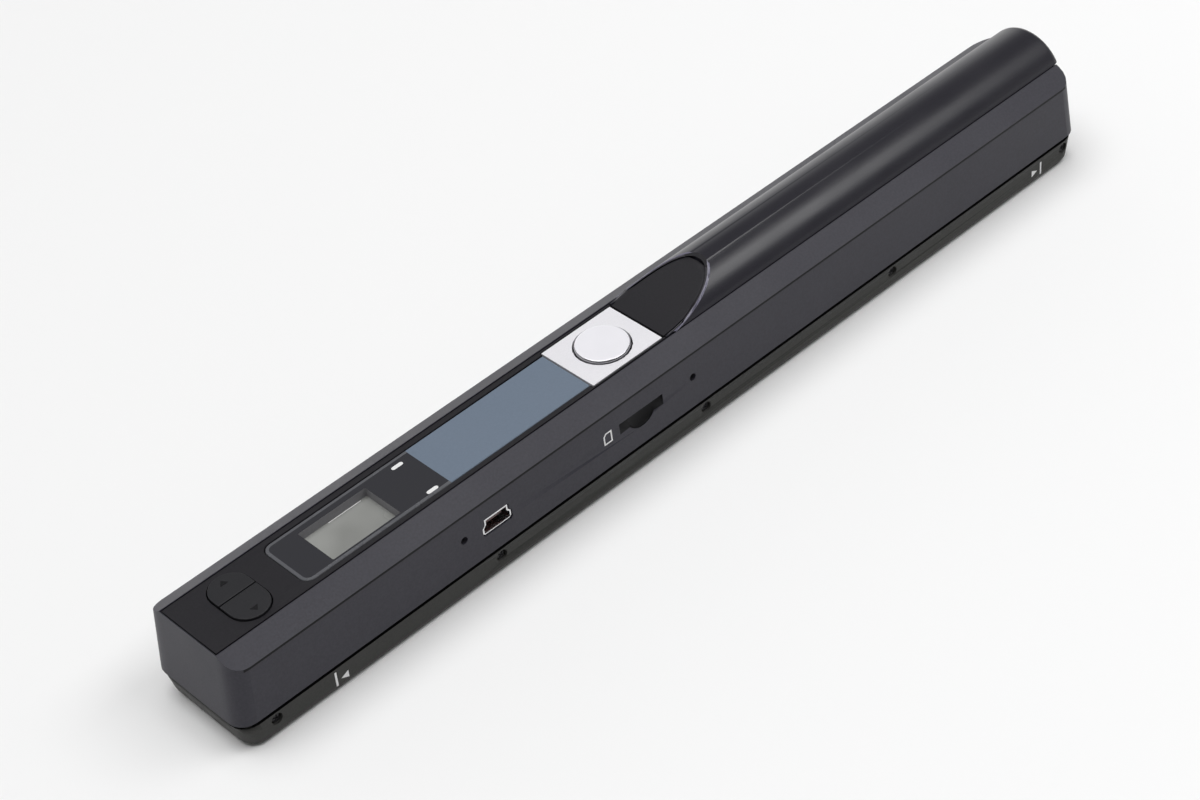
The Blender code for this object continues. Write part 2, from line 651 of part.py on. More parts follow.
def make_upper_housing():
    """The upper shell: drafted walls, long chamfers, and a deck open for the panel and the cover."""
    shell = drafted_box(
        "upper_housing",
        (upper_half_length(UPPER_BOTTOM_Z), upper_half_length(TOP_Z)),
        (upper_half_width(UPPER_BOTTOM_Z), upper_half_width(TOP_Z)),
        (UPPER_BOTTOM_Z, TOP_Z),
        CORNER_RADIUS,
    )
    cut(shell, chamfer_cutter(1), chamfer_cutter(-1))
    low = UPPER_BOTTOM_Z - OVERRUN
    hollow = drafted_box(
        "shell_hollow",
        (upper_half_length(low) - END_WALL, upper_half_length(CEILING_Z) - END_WALL),
        (upper_half_width(low) - WALL, upper_half_width(CEILING_Z) - WALL),
        (low, CEILING_Z),
        CORNER_RADIUS - WALL,
    )
    cut(shell, hollow)
    above = TOP_Z + OVERRUN
    through = (CEILING_Z - OVERRUN, PANEL_UNDER_Z)
    recess = block(
        "panel_recess",
        (PANEL_NEAR_X - FIT, COVER_X),
        (-SLOT_HALF, SLOT_HALF),
        (PANEL_UNDER_Z - GAP, above),
    )
    opening = block(
        "panel_opening",
        (PANEL_NEAR_X + END_LEDGE, COVER_X - OVERRUN),
        (PANEL_LEDGE - SLOT_HALF, SLOT_HALF - PANEL_LEDGE),
        through,
    )
    far = LENGTH / 2 + OVERRUN
    slot = block(
        "cover_slot", (COVER_X - GAP, far), (-SLOT_HALF, SLOT_HALF), (CEILING_Z - OVERRUN, above)
    )
    groove = block(
        "cover_groove", (COVER_X - GAP, far), (-GROOVE_HALF, GROOVE_HALF), (CEILING_Z - OVERRUN, LIP_Z)
    )
    sill = block(
        "far_wall_sill",
        (upper_half_length(CEILING_Z) - END_WALL - OVERRUN, far),
        (-GROOVE_HALF, GROOVE_HALF),
        (CEILING_Z - OVERRUN * 2, CEILING_Z + OVERRUN),
    )
    cut(shell, recess, opening, slot, groove, sill)
    foot_out = upper_half_width(UPPER_BOTTOM_Z) - WALL + TAB_ROOT
    for x in SCREW_PLACES:
        for side in (1, -1):
            across = (x - TAB_WIDTH / 2, x + TAB_WIDTH / 2)
            drop = sorted((side * TAB_INNER, side * TAB_OUTER))
            foot = sorted((side * (TAB_OUTER - GAP), side * foot_out))
            high = UPPER_BOTTOM_Z + TAB_RISE
            tab = block("screw_tab", across, drop, (SEAM_Z - TAB_DROP, high))
            root = block("tab_root", across, foot, (UPPER_BOTTOM_Z, high))
            join(shell, root, tab)
            ends = sorted((side * (TAB_INNER - OVERRUN), side * (TAB_OUTER + OVERRUN)))
            cut(shell, rod("tab_hole", "Y", (x, SCREW_Z), *ends, SCREW_SHANK + GAP))
    for x in BOARD_POST_PLACES:
        post = rod("board_post", "Z", (x, BOARD_POST_Y), BOARD_SEAT_Z, CEILING_Z + GAP, BOARD_POST_RADIUS)
        pilot = rod(
            "post_pilot", "Z", (x, BOARD_POST_Y), BOARD_SEAT_Z - OVERRUN, CEILING_Z, SMALL_SHANK + GAP
        )
        join(shell, post)
        cut(shell, pilot)
    outer = -upper_half_width(UPPER_BOTTOM_Z) - OVERRUN
    inner = WALL - upper_half_width(BOARD_UNDER) + OVERRUN
    port = prism("usb_hole", "Y", [usb_outline(FIT)], outer, inner)
    cut(shell, port)
    for x in (TIME_HOLE_X, FORMAT_HOLE_X):
        cut(shell, rod("pinhole", "Y", (x, PINHOLE_Z), outer, inner, PINHOLE_RADIUS))
    slit = block(
        "card_slit",
        (CARD_X - CARD_SLIT / 2, CARD_X + CARD_SLIT / 2),
        (outer, inner),
        (CARD_Z - CARD_SLIT_HEIGHT / 2, CARD_Z + CARD_SLIT_HEIGHT / 2),
    )
    cut(shell, scoop_cutter(), slit_lead(), slit)
    piece(shell, "upper_housing", "shell_black")


def slit_lead():
    """The sloping lead-in that guides a card up to the slit."""
    face = -upper_half_width(CARD_Z)
    low = CARD_Z - CARD_SLIT_HEIGHT / 2
    high = CARD_Z + CARD_SLIT_HEIGHT / 2
    back = face + SLIT_LEAD_DEPTH
    slope = SLIT_LEAD_DROP / SLIT_LEAD_DEPTH
    out = face - OVERRUN
    outline = [(out, low - slope * (SLIT_LEAD_DEPTH + OVERRUN)), (back, low), (back, high), (out, high)]
    half = CARD_SLIT / 2 + SLIT_LEAD_SIDE
    return prism("slit_lead", "X", [outline], CARD_X - half, CARD_X + half)


def scoop_cutter():
    """The lower half of a flattened ball, which leaves the thumb scoop under the card slit."""
    build = bmesh.new()
    bmesh.ops.create_uvsphere(build, u_segments=20, v_segments=12, radius=1.0)
    cut_z = CARD_Z
    scale = Matrix.Diagonal((SCOOP_LENGTH / 2, SCOOP_DEPTH, SCOOP_DROP, 1))
    build.transform(scale)
    surface = [*build.verts, *build.edges, *build.faces]
    bmesh.ops.bisect_plane(build, geom=surface, plane_co=(0, 0, 0), plane_no=(0, 0, 1), clear_outer=True)
    rim = [e for e in build.edges if e.is_boundary]
    bmesh.ops.holes_fill(build, edges=rim)
    bmesh.ops.recalc_face_normals(build, faces=build.faces)
    return place("thumb_scoop", mesh_from(build, "thumb_scoop"), (CARD_X, -upper_half_width(CARD_Z), cut_z))


def usb_outline(grow):
    """The socket's outline: a wide lower part and narrower shoulders, grown by a clearance."""
    wide = USB_WIDTH / 2 + grow
    narrow = wide - USB_SHOULDER
    top = BOARD_UNDER - GAP + grow
    low = BOARD_UNDER - GAP - USB_HEIGHT - grow
    corner = USB_CORNER + grow * (2 - math.sqrt(2))
    step = BOARD_UNDER - GAP - USB_HEIGHT + USB_SHOULDER_DROP + grow * math.tan(TURN / 16)
    neck = step + USB_SHOULDER
    half = [(wide - corner, low), (wide, low + corner), (wide, step), (narrow, neck), (narrow, top)]
    return [(USB_X + u, v) for u, v in half] + [(USB_X - u, v) for u, v in reversed(half)]


def seam_groove():
    """A cutter for the shadow groove that runs round the lower shell, just under the seam."""
    low = LOWER_TOP_Z - GROOVE_HEIGHT
    high = LOWER_TOP_Z + OVERRUN
    core = drafted_box(
        "groove_core",
        (lower_half_length(low) - GROOVE_DEPTH, lower_half_length(high) - GROOVE_DEPTH),
        (lower_half_width(low) - GROOVE_DEPTH, lower_half_width(high) - GROOVE_DEPTH),
        (low - OVERRUN, high + OVERRUN),
        CORNER_RADIUS - GROOVE_DEPTH,
    )
    around = block("seam_groove", (-LENGTH, LENGTH), (-WIDTH, WIDTH), (low, high))
    return cut(around, core)


def make_lower_housing():
    """The lower shell: a tray with openings for the glass and the rollers, and the shaft posts."""
    shell = drafted_box(
        "lower_housing",
        (lower_half_length(STAND_OFF), lower_half_length(LOWER_TOP_Z)),
        (lower_half_width(STAND_OFF), lower_half_width(LOWER_TOP_Z)),
        (STAND_OFF, LOWER_TOP_Z),
        CORNER_RADIUS,
        LOWER_EDGE,
    )
    high = LOWER_TOP_Z + OVERRUN
    hollow = drafted_box(
        "tray_hollow",
        (lower_half_length(FLOOR_Z) - END_WALL, lower_half_length(high) - END_WALL),
        (lower_half_width(FLOOR_Z) - WALL, lower_half_width(high) - WALL),
        (FLOOR_Z, high),
        TRAY_CORNER,
    )
    cut(shell, hollow, seam_groove())
    floor = (STAND_OFF - OVERRUN, FLOOR_Z + OVERRUN)
    half = SCAN_WIDTH / 2
    glass_slot = block(
        "glass_slot",
        (SCAN_MIDDLE_X - half, SCAN_MIDDLE_X + half),
        (-GLASS_HALF - GAP, GLASS_HALF + GAP),
        floor,
    )
    cut(shell, glass_slot)
    for x in ROLLER_PLACES:
        for side in (1, -1):
            reach = ROLLER_LENGTH / 2 + GAP
            across = sorted((side * (ROLLER_Y - ROLLER_RADIUS), side * (ROLLER_Y + ROLLER_RADIUS)))
            cut(shell, block("roller_slot", (x - reach, x + reach), across, floor))
    pocket = rod(
        "pinion_pocket",
        "X",
        (ROLLER_Y, ROLLER_Z),
        GEAR_NEAR_X - GAP,
        GEAR_FAR_X + GAP,
        PINION_PITCH + GEAR_MODULE + RUNNING,
    )
    cut(shell, pocket)
    drive_posts = (POST_NEAR_X, *shaft_rests(), POST_FAR_X)
    for side in (1, -1):
        for x in drive_posts:
            add_post(shell, x, side * ROLLER_Y, ROLLER_Z, SHAFT_RADIUS, POST_HALF, POST_HEIGHT, POST_THICK)
    rise = WHEEL_Z - FLOOR_Z + PIN_RADIUS
    for x in (PIN_POST_NEAR_X, POST_NEAR_X):
        add_post(shell, x, WHEEL_Y, WHEEL_Z, PIN_RADIUS, POST_HALF, rise, PIN_POST_THICK)
    for x in SCREW_PLACES:
        for side in (1, -1):
            cut(shell, *screw_hole(x, side))
    piece(shell, "lower_housing", "shell_grey")


def shaft_rests():
    """Places of the middle posts, just inside each roller's inner end."""
    reach = ROLLER_LENGTH / 2 + SHAFT_END + POST_THICK
    return ROLLER_PLACES[0] + reach, ROLLER_PLACES[-1] - reach


def add_post(shell, x, y, z, radius, half, height, thick):
    """A post on the lower floor with an open notch that carries a shaft or pin."""
    across = (x - thick / 2, x + thick / 2)
    post = block("post", across, (y - half, y + half), (FLOOR_Z - GAP, FLOOR_Z + height))
    grip = radius + RUNNING
    top = FLOOR_Z + height + OVERRUN
    notch = block(
        "notch", (across[0] - OVERRUN, across[1] + OVERRUN), (y - grip, y + grip), (z - grip, top)
    )
    join(shell, post)
    cut(shell, notch)


def screw_seat(side):
    """Where a side screw's recess ends, on one side of the wand."""
    return side * (lower_half_width(SCREW_Z) - SCREW_RECESS)


def screw_hole(x, side):
    """The recess and the through hole of one side screw."""
    out = side * (WIDTH / 2 + OVERRUN)
    seat = screw_seat(side)
    inside = side * (LOWER_INNER - OVERRUN)
    at = (x, SCREW_Z)
    recess = rod("screw_recess", "Y", at, *sorted((seat, out)), SCREW_HEAD_RADIUS + GAP)
    hole = rod("screw_hole", "Y", at, *sorted((inside, out)), SCREW_SHANK + GAP)
    return recess, hole


def make_side_screws():
    """The screws that hold the two shells together, five in each side."""
    for side, label in ((-1, "near"), (1, "far")):
        for number, x in enumerate(SCREW_PLACES, 1):
            seat = screw_seat(side) + side * RUNNING
            head_end = seat + side * SCREW_HEAD_THICK
            tip = side * TAB_INNER
            name = f"{label}_screw_{number}"
            head = rod(name, "Y", (x, SCREW_Z), *sorted((seat, head_end)), SCREW_HEAD_RADIUS)
            ends = sorted((tip, seat + side * SCREW_HEAD_THICK / 2))
            shank = rod(f"{name}_shank", "Y", (x, SCREW_Z), *ends, SCREW_SHANK)
            join(head, shank)
            piece(head, name, "dark_steel")


def make_panel():
    """The black insert in the top, with openings for the keys, display, lights and button."""
    panel = block(
        "top_panel", (PANEL_NEAR_X, PANEL_FAR_X), (-PANEL_HALF, PANEL_HALF), (PANEL_UNDER_Z, TOP_Z)
    )
    deep = PANEL_UNDER_Z - OVERRUN
    above = TOP_Z + OVERRUN
    keys = prism("keys_hole", "Z", [stadium((KEYS_X, 0), KEYS_LONG, KEYS_WIDE)], deep, above)
    lens = prism(
        "lens_pocket",
        "Z",
        [lens_outline(FIT)],
        LENS_POCKET_Z,
        above,
    )
    window = block(
        "window_hole",
        (WINDOW_START_X - WINDOW_RIM, WINDOW_END_X + WINDOW_RIM),
        (WINDOW_Y - WINDOW_WIDTH / 2 - WINDOW_RIM, WINDOW_Y + WINDOW_WIDTH / 2 + WINDOW_RIM),
        (deep, LENS_POCKET_Z + OVERRUN / 2),
    )
    plate_pocket = block(
        "plate_pocket",
        (PLATE_NEAR_X - FIT, PANEL_FAR_X),
        (-PLATE_WIDTH / 2 - FIT, PLATE_WIDTH / 2 + FIT),
        (TOP_Z - PLATE_THICK - PLATE_GAP, above),
    )
    bore = rod("button_bore", "Z", (BUTTON_X, 0), deep, above, BUTTON_RADIUS + GAP, ROUND_STEPS)
    join(panel, make_ramp())
    cut(panel, keys, lens, window, plate_pocket, bore)
    for y in LIGHT_PLACES.values():
        cut(panel, light_block("light_hole", y, GAP, deep, above))
    piece(panel, "top_panel", "panel_black")


def light_block(name, y, grow, low, high):
    """A light pipe's upright block, grown by a clearance."""
    return block(
        name,
        (LIGHT_X - LIGHT_LENGTH / 2 - grow, LIGHT_X + LIGHT_LENGTH / 2 + grow),
        (y - LIGHT_WIDTH / 2 - grow, y + LIGHT_WIDTH / 2 + grow),
        (low, high),
    )


def lens_outline(grow):
    """The lens outline, grown by a clearance: round corners at the keys, square ones at the plate."""
    near = LENS_START_X - grow
    far = LENS_END_X + grow
    half = LENS_WIDTH / 2 + grow
    corner = LENS_CORNER + grow
    high = arc((near + corner, half - corner), corner, TURN / 4, TURN / 2, CORNER_STEPS)
    low = arc((near + corner, corner - half), corner, TURN / 2, TURN * 3 / 4, CORNER_STEPS)
    return [(far, half), *high, *low, (far, -half)]


def make_lens():
    """The clear lens plate, the black film printed under it, and the bare blue-grey label."""
    lens = prism("lens_plate", "Z", [lens_outline(0)], LENS_UNDER_Z, LENS_TOP_Z)
    piece(lens, "lens_plate", "lens_clear")
    half = LENS_WIDTH / 2 - FIT
    film = block(
        "print_film", (LENS_START_X + FIT, LABEL_START_X - FIT), (-half, half), (FILM_UNDER_Z, FILM_TOP_Z)
    )
    window = block(
        "film_window",
        (WINDOW_START_X, WINDOW_END_X),
        (WINDOW_Y - WINDOW_WIDTH / 2, WINDOW_Y + WINDOW_WIDTH / 2),
        (FILM_UNDER_Z - OVERRUN, FILM_TOP_Z + OVERRUN),
    )
    boolean(film, film_limit(), "INTERSECT")
    cut(film, window)
    for y in LIGHT_PLACES.values():
        cut(film, light_block("film_slot", y, FILM_GAP, FILM_UNDER_Z - OVERRUN, FILM_TOP_Z + OVERRUN))
    piece(film, "print_film", "print_black")
    label = block(
        "label_strip", (LABEL_START_X, LENS_END_X - FIT), (-half, half), (FILM_UNDER_Z, FILM_TOP_Z)
    )
    boolean(label, film_limit(), "INTERSECT")
    piece(label, "label_strip", "label_blue")


def film_limit():
    """The lens outline drawn in a little, which the films under it keep to."""
    return prism("film_limit", "Z", [lens_outline(-FIT / 2)], FILM_UNDER_Z - OVERRUN, FILM_TOP_Z + OVERRUN)


def make_deco_plate():
    """The silver plate round the scan button."""
    low = TOP_Z - PLATE_THICK
    plate = block(
        "silver_plate", (PLATE_NEAR_X, PLATE_FAR_X), (-PLATE_WIDTH / 2, PLATE_WIDTH / 2), (low, TOP_Z)
    )
    around = (low - OVERRUN, TOP_Z + OVERRUN)
    cut(plate, rod("plate_hole", "Z", (BUTTON_X, 0), *around, BUTTON_RADIUS + GAP, ROUND_STEPS))
    piece(plate, "silver_plate", "silver_paint")


def make_scan_button():
    """The round button: a low dome, a flange that keeps it under the panel, and a stem."""
    top = BUTTON_RISE
    flange_top = PANEL_UNDER_Z - GAP - TOP_Z
    flange_low = flange_top - BUTTON_FLANGE_THICK
    flange = min(BUTTON_RADIUS + BUTTON_FLANGE, SLOT_HALF - PANEL_LEDGE - GAP)
    stem_low = press_level(BUTTON_TRAVEL) - TOP_Z
    inner = BUTTON_RADIUS - BUTTON_EDGE
    profile = [
        (0, top),
        (inner / 2, top - BUTTON_DOME / 4),
        (inner, top - BUTTON_DOME),
        (BUTTON_RADIUS, top - BUTTON_DOME - BUTTON_EDGE),
        (BUTTON_RADIUS, flange_top),
        (flange, flange_top),
        (flange, flange_low),
        (BUTTON_STEM, flange_low),
        (BUTTON_STEM, stem_low),
        (0, stem_low),
    ]
    button = turned("scan_button", profile, (BUTTON_X, 0, TOP_Z), ROUND_STEPS)
    piece(button, "scan_button", "button_silver")


def press_level(travel):
    """Lowest level of a stem above its switch, which leaves room for the press."""
    return BOARD_SEAT_Z + TACT_HEIGHT + TACT_BUTTON_RISE + travel + PRESS_MARGIN


def make_keys():
    """The two keys: halves of one oval, each with a stem."""
    inside = stadium((KEYS_X, 0), KEYS_LONG - FIT * 2, KEYS_WIDE - FIT * 2)
    far = KEYS_WIDE
    top = TOP_Z + KEY_RISE
    for name, side in (("far_key", 1), ("near_key", -1)):
        key = prism(name, "Z", [inside], top - KEY_BODY, top)
        away = sorted((KEY_SPLIT_Y + side * GAP / 2, KEY_SPLIT_Y - side * KEYS_LONG))
        other_half = block(
            "key_halver", (KEYS_X - far, KEYS_X + far), away, (TOP_Z - KEY_BODY * 2, top + OVERRUN)
        )
        cut(key, other_half)
        y = key_centre(side)
        half = KEY_STEM / 2
        stem = block(
            "key_stem",
            (KEYS_X - half, KEYS_X + half),
            (y - half, y + half),
            (press_level(KEY_TRAVEL), top - KEY_BODY / 2),
        )
        join(key, stem)
        piece(key, name, "key_black", (KEYS_X, y, TOP_Z))


def key_centre(side):
    """The middle of one key across the wand."""
    return (KEY_SPLIT_Y + side * KEYS_LONG / 2) / 2


def make_top_switches():
    """The press switches on the main board, under the two keys and the scan button."""
    places = {
        "far_key_switch": (KEYS_X, key_centre(1)),
        "near_key_switch": (KEYS_X, key_centre(-1)),
        "scan_switch": (BUTTON_X, 0.0),
    }
    half = TACT_SIZE / 2
    for name, (x, y) in places.items():
        top = BOARD_SEAT_Z + TACT_HEIGHT
        body = block(name, (x - half, x + half), (y - half, y + half), (BOARD_SEAT_Z, top))
        cap = rod(f"{name}_cap", "Z", (x, y), top - GAP, top + TACT_BUTTON_RISE, TACT_BUTTON)
        join(body, cap)
        piece(body, name, "switch_black")


def make_display():
    """The display glass in its holder, and the two light pipes."""
    x = (WINDOW_START_X - LCD_MARGIN, WINDOW_END_X + LCD_MARGIN)
    y_low = WINDOW_Y - WINDOW_WIDTH / 2 - LCD_MARGIN / 2
    y_high = WINDOW_Y + WINDOW_WIDTH / 2 + LCD_MARGIN / 2
    top = PANEL_UNDER_Z - GAP
    glass = block("display_glass", x, (y_low, y_high), (top - LCD_THICK, top))
    piece(glass, "display_glass", "display_glass")
    grow = GAP + HOLDER_WALL
    holder = block(
        "display_holder",
        (x[0] - grow, x[1] + grow),
        (y_low - grow, y_high + grow),
        (BOARD_SEAT_Z, top),
    )
    seat = block(
        "glass_seat",
        (x[0] - GAP, x[1] + GAP),
        (y_low - GAP, y_high + GAP),
        (top - LCD_THICK - GAP, top + OVERRUN),
    )
    hollow = block(
        "holder_hollow",
        (x[0] + GAP, x[1] - GAP),
        (y_low + GAP, y_high - GAP),
        (BOARD_SEAT_Z - OVERRUN, top),
    )
    cut(holder, seat, hollow)
    piece(holder, "display_holder", "frame_plastic")
    for name, y in LIGHT_PLACES.items():
        pipe = light_block(name, y, 0.0, BOARD_SEAT_Z, FILM_TOP_Z)
        piece(pipe, name, "light_diffuser")


def make_main_board():
    """The circuit board that carries the switches, sockets and display, and its two screws."""
    board = block(
        "main_board", (BOARD_NEAR_X, BOARD_FAR_X), (-BOARD_HALF, BOARD_HALF), (BOARD_UNDER, BOARD_TOP_Z)
    )
    around = (BOARD_UNDER - OVERRUN, BOARD_TOP_Z + OVERRUN)
    for x in BOARD_POST_PLACES:
        cut(board, rod("board_hole", "Z", (x, BOARD_POST_Y), *around, SMALL_SHANK + GAP))
    piece(board, "main_board", "board_green")
    head_top = BOARD_UNDER - GAP
    for number, x in enumerate(BOARD_POST_PLACES, 1):
        name = f"board_screw_{number}"
        head = rod(name, "Z", (x, BOARD_POST_Y), head_top - SMALL_HEAD_THICK, head_top, SMALL_HEAD)
        shank_low = head_top - SMALL_HEAD_THICK / 2
        shank = rod(f"{name}_shank", "Z", (x, BOARD_POST_Y), shank_low, CEILING_Z - GAP, SMALL_SHANK)
        join(head, shank)
        piece(head, name, "bright_steel")


def make_usb_socket():
    """The metal mini-USB shell with its plastic tongue, hung under the board."""
    front = USB_INSET - upper_half_width(BOARD_UNDER)
    back = front + USB_DEPTH
    shell = prism("usb_shell", "Y", [usb_outline(0.0)], front, back)
    mouth = prism("usb_mouth", "Y", [usb_outline(-USB_METAL)], front - OVERRUN, back - USB_METAL)
    cut(shell, mouth)
    piece(shell, "usb_shell", "bright_steel")
    middle = BOARD_UNDER - GAP - USB_HEIGHT / 2
    tongue = block(
        "usb_tongue",
        (USB_X - TONGUE_WIDTH / 2, USB_X + TONGUE_WIDTH / 2),
        (front + TONGUE_INSET, back - USB_METAL - GAP),
        (middle - TONGUE_THICK / 2, middle + TONGUE_THICK / 2),
    )
    piece(tongue, "usb_tongue", "socket_plastic")


def make_card_socket():
    """The memory card socket behind the slit in the side."""
    front = GAP + WALL - upper_half_width(BOARD_UNDER)
    reach = CARD_SLIT / 2 + CARD_SOCKET_SIDE
    socket = block(
        "card_socket",
        (CARD_X - reach, CARD_X + reach),
        (front, front + CARD_SOCKET_DEPTH),
        (CARD_Z - CARD_SLIT_HEIGHT / 2 - CARD_SOCKET_UNDER, BOARD_UNDER - FILM_GAP),
    )
    pocket = block(
        "card_pocket",
        (CARD_X - CARD_SLIT / 2, CARD_X + CARD_SLIT / 2),
        (front - OVERRUN, front + CARD_POCKET_DEPTH),
        (CARD_Z - CARD_SLIT_HEIGHT / 2, CARD_Z + CARD_SLIT_HEIGHT / 2),
    )
    cut(socket, pocket)
    piece(socket, "card_socket", "bright_steel")


def make_side_switches():
    """The two recessed switches, each pressed through a pinhole with a pen tip."""
    wall_inner = WALL - upper_half_width(BOARD_UNDER)
    front = wall_inner + GAP
    top = BOARD_UNDER - GAP
    half = SIDE_SWITCH_LENGTH / 2
    for name, x in (("time", TIME_HOLE_X), ("format", FORMAT_HOLE_X)):
        body = block(
            f"{name}_switch",
            (x - half, x + half),
            (front, front + SIDE_SWITCH_DEPTH),
            (top - SIDE_SWITCH_HEIGHT, top),
        )
        socket = rod(
            "plunger_socket",
            "Y",
            (x, PINHOLE_Z),
            front - OVERRUN,
            front + PLUNGER_SOCKET,
            PLUNGER_RADIUS + GAP,
        )
        cut(body, socket)
        piece(body, f"{name}_switch", "switch_black")
        tip = PLUNGER_INSET - upper_half_width(PINHOLE_Z)
        inner = front + PLUNGER_SOCKET - PLUNGER_TRAVEL - PRESS_MARGIN
        plunger = rod(f"{name}_plunger", "Y", (x, PINHOLE_Z), tip, inner, PLUNGER_RADIUS)
        piece(plunger, f"{name}_plunger", "gear_white", (x, tip, PINHOLE_Z))


def make_sensor():
    """The contact image sensor: its housing, glass, rod lenses, board and flat cable."""
    body = block(
        "sensor_housing",
        (SENSOR_NEAR_X, SENSOR_FAR_X),
        (-SENSOR_HALF, SENSOR_HALF),
        (SENSOR_UNDER_Z, SENSOR_TOP_Z),
    )
    inside = (SENSOR_NEAR_X + SENSOR_WALL, SENSOR_FAR_X - SENSOR_WALL)
    half = SENSOR_HALF - SENSOR_WALL
    trough = block("sensor_trough", inside, (-half, half), (SENSOR_UNDER_Z - OVERRUN, WEB_LOW_Z))
    pocket = block("sensor_pocket", inside, (-half, half), (WEB_HIGH_Z, SENSOR_TOP_Z + OVERRUN))
    lens_half = ROD_LENS_WIDTH / 2
    slot = block(
        "lens_slot", inside, (-lens_half - GAP, lens_half + GAP), (WEB_LOW_Z - OVERRUN, WEB_HIGH_Z + OVERRUN)
    )
    cut(body, trough, pocket, slot)
    piece(body, "sensor_housing", "frame_plastic")
    reach = SCAN_WIDTH / 2 - GAP
    glass_top = SENSOR_UNDER_Z - GAP
    glass = block(
        "sensor_glass",
        (SCAN_MIDDLE_X - reach, SCAN_MIDDLE_X + reach),
        (-GLASS_HALF, GLASS_HALF),
        (glass_top - GLASS_THICK, glass_top),
    )
    piece(glass, "sensor_glass", "clear_glass")
    lens_low = SENSOR_UNDER_Z + ROD_LENS_LIFT
    lens_x = (inside[0] + GAP, inside[1] - GAP)
    lens = block("rod_lens", lens_x, (-lens_half, lens_half), (lens_low, lens_low + ROD_LENS_HEIGHT))
    piece(lens, "rod_lens", "light_diffuser")
    board_top = SENSOR_BOARD_Z + SENSOR_BOARD_THICK
    board = block("sensor_board", lens_x, (GAP - half, half - GAP), (SENSOR_BOARD_Z, board_top))
    piece(board, "sensor_board", "board_green")
    make_flat_cable(board_top + GAP)


def make_flat_cable(low):
    """The ribbon from the sensor board up to the main board, on an S-shaped line."""
    start = SENSOR_NEAR_X + CABLE_FROM_END
    high = BOARD_UNDER - GAP - CABLE_THICK
    steps = RAMP_STEPS
    centre = [(start, low)]
    for n in range(steps + 1):
        share = n / steps
        ease = share * share * (3 - 2 * share)
        run = CABLE_LENGTH - 2 * CABLE_FLAT
        centre.append((start + CABLE_FLAT + run * share, low + (high - low) * ease))
    centre.append((start + CABLE_LENGTH, high))
    over = [(x, z + CABLE_THICK) for x, z in reversed(centre)]
    half = SENSOR_HALF - CABLE_SIDE
    ribbon = prism("flat_cable", "Y", [centre + over], -half, half)
    piece(ribbon, "flat_cable", "ribbon_white")


def make_rollers():
    """Two rows of rubber rollers, each on its own steel shaft."""
    for row, side in (("drive", 1), ("idler", -1)):
        y = side * ROLLER_Y
        near = DRIVE_END_X if row == "drive" else SHAFT_NEAR_X
        step_x = DISC_NEAR_X if row == "drive" else SHAFT_NEAR_X + SHAFT_END / 2
        length = SHAFT_FAR_X - near
        profile = [
            (0, length),
            (SHAFT_RADIUS, length),
            (SHAFT_RADIUS, step_x - near),
            (JOURNAL_RADIUS, step_x - near),
            (JOURNAL_RADIUS, 0),
            (0, 0),
        ]
        shaft = turned(f"{row}_shaft", profile, (near, y, ROLLER_Z), SMALL_STEPS, "X")
        piece(shaft, f"{row}_shaft", "bright_steel")
        for number, x in enumerate(ROLLER_PLACES, 1):
            name = f"{row}_roller_{number}"
            ends = (x - ROLLER_LENGTH / 2, x + ROLLER_LENGTH / 2)
            rubber = rod(name, "X", (y, ROLLER_Z), *ends, ROLLER_RADIUS, ROUND_STEPS)
            bore = rod(
                "roller_bore", "X", (y, ROLLER_Z), ends[0] - OVERRUN, ends[1] + OVERRUN, SHAFT_RADIUS + GAP
            )
            cut(rubber, bore)
            piece(rubber, name, "roller_rubber", (x, y, ROLLER_Z))


def gear_outline(centre, teeth, first_angle):
    """A gear's outline: slim teeth with sloping flanks, one of them centred on the first angle."""
    pitch = GEAR_MODULE * teeth / 2
    tip = pitch + GEAR_MODULE
    root = pitch - GEAR_MODULE * TOOTH_DEPTH_SHARE
    corners = [(root, -TOOTH_ROOT_SHARE), (tip, -TOOTH_TIP_SHARE)]
    corners += [(radius, -share) for radius, share in reversed(corners)]
    outline = []
    for n in range(teeth):
        for radius, share in corners:
            angle = first_angle + TURN * (n + share) / teeth
            outline.append(polar(centre, radius, angle))
    return outline


def polar(centre, radius, angle):
    """A point in an outline's plane at a radius and angle from a centre."""
    return centre[0] + radius * math.cos(angle), centre[1] + radius * math.sin(angle)


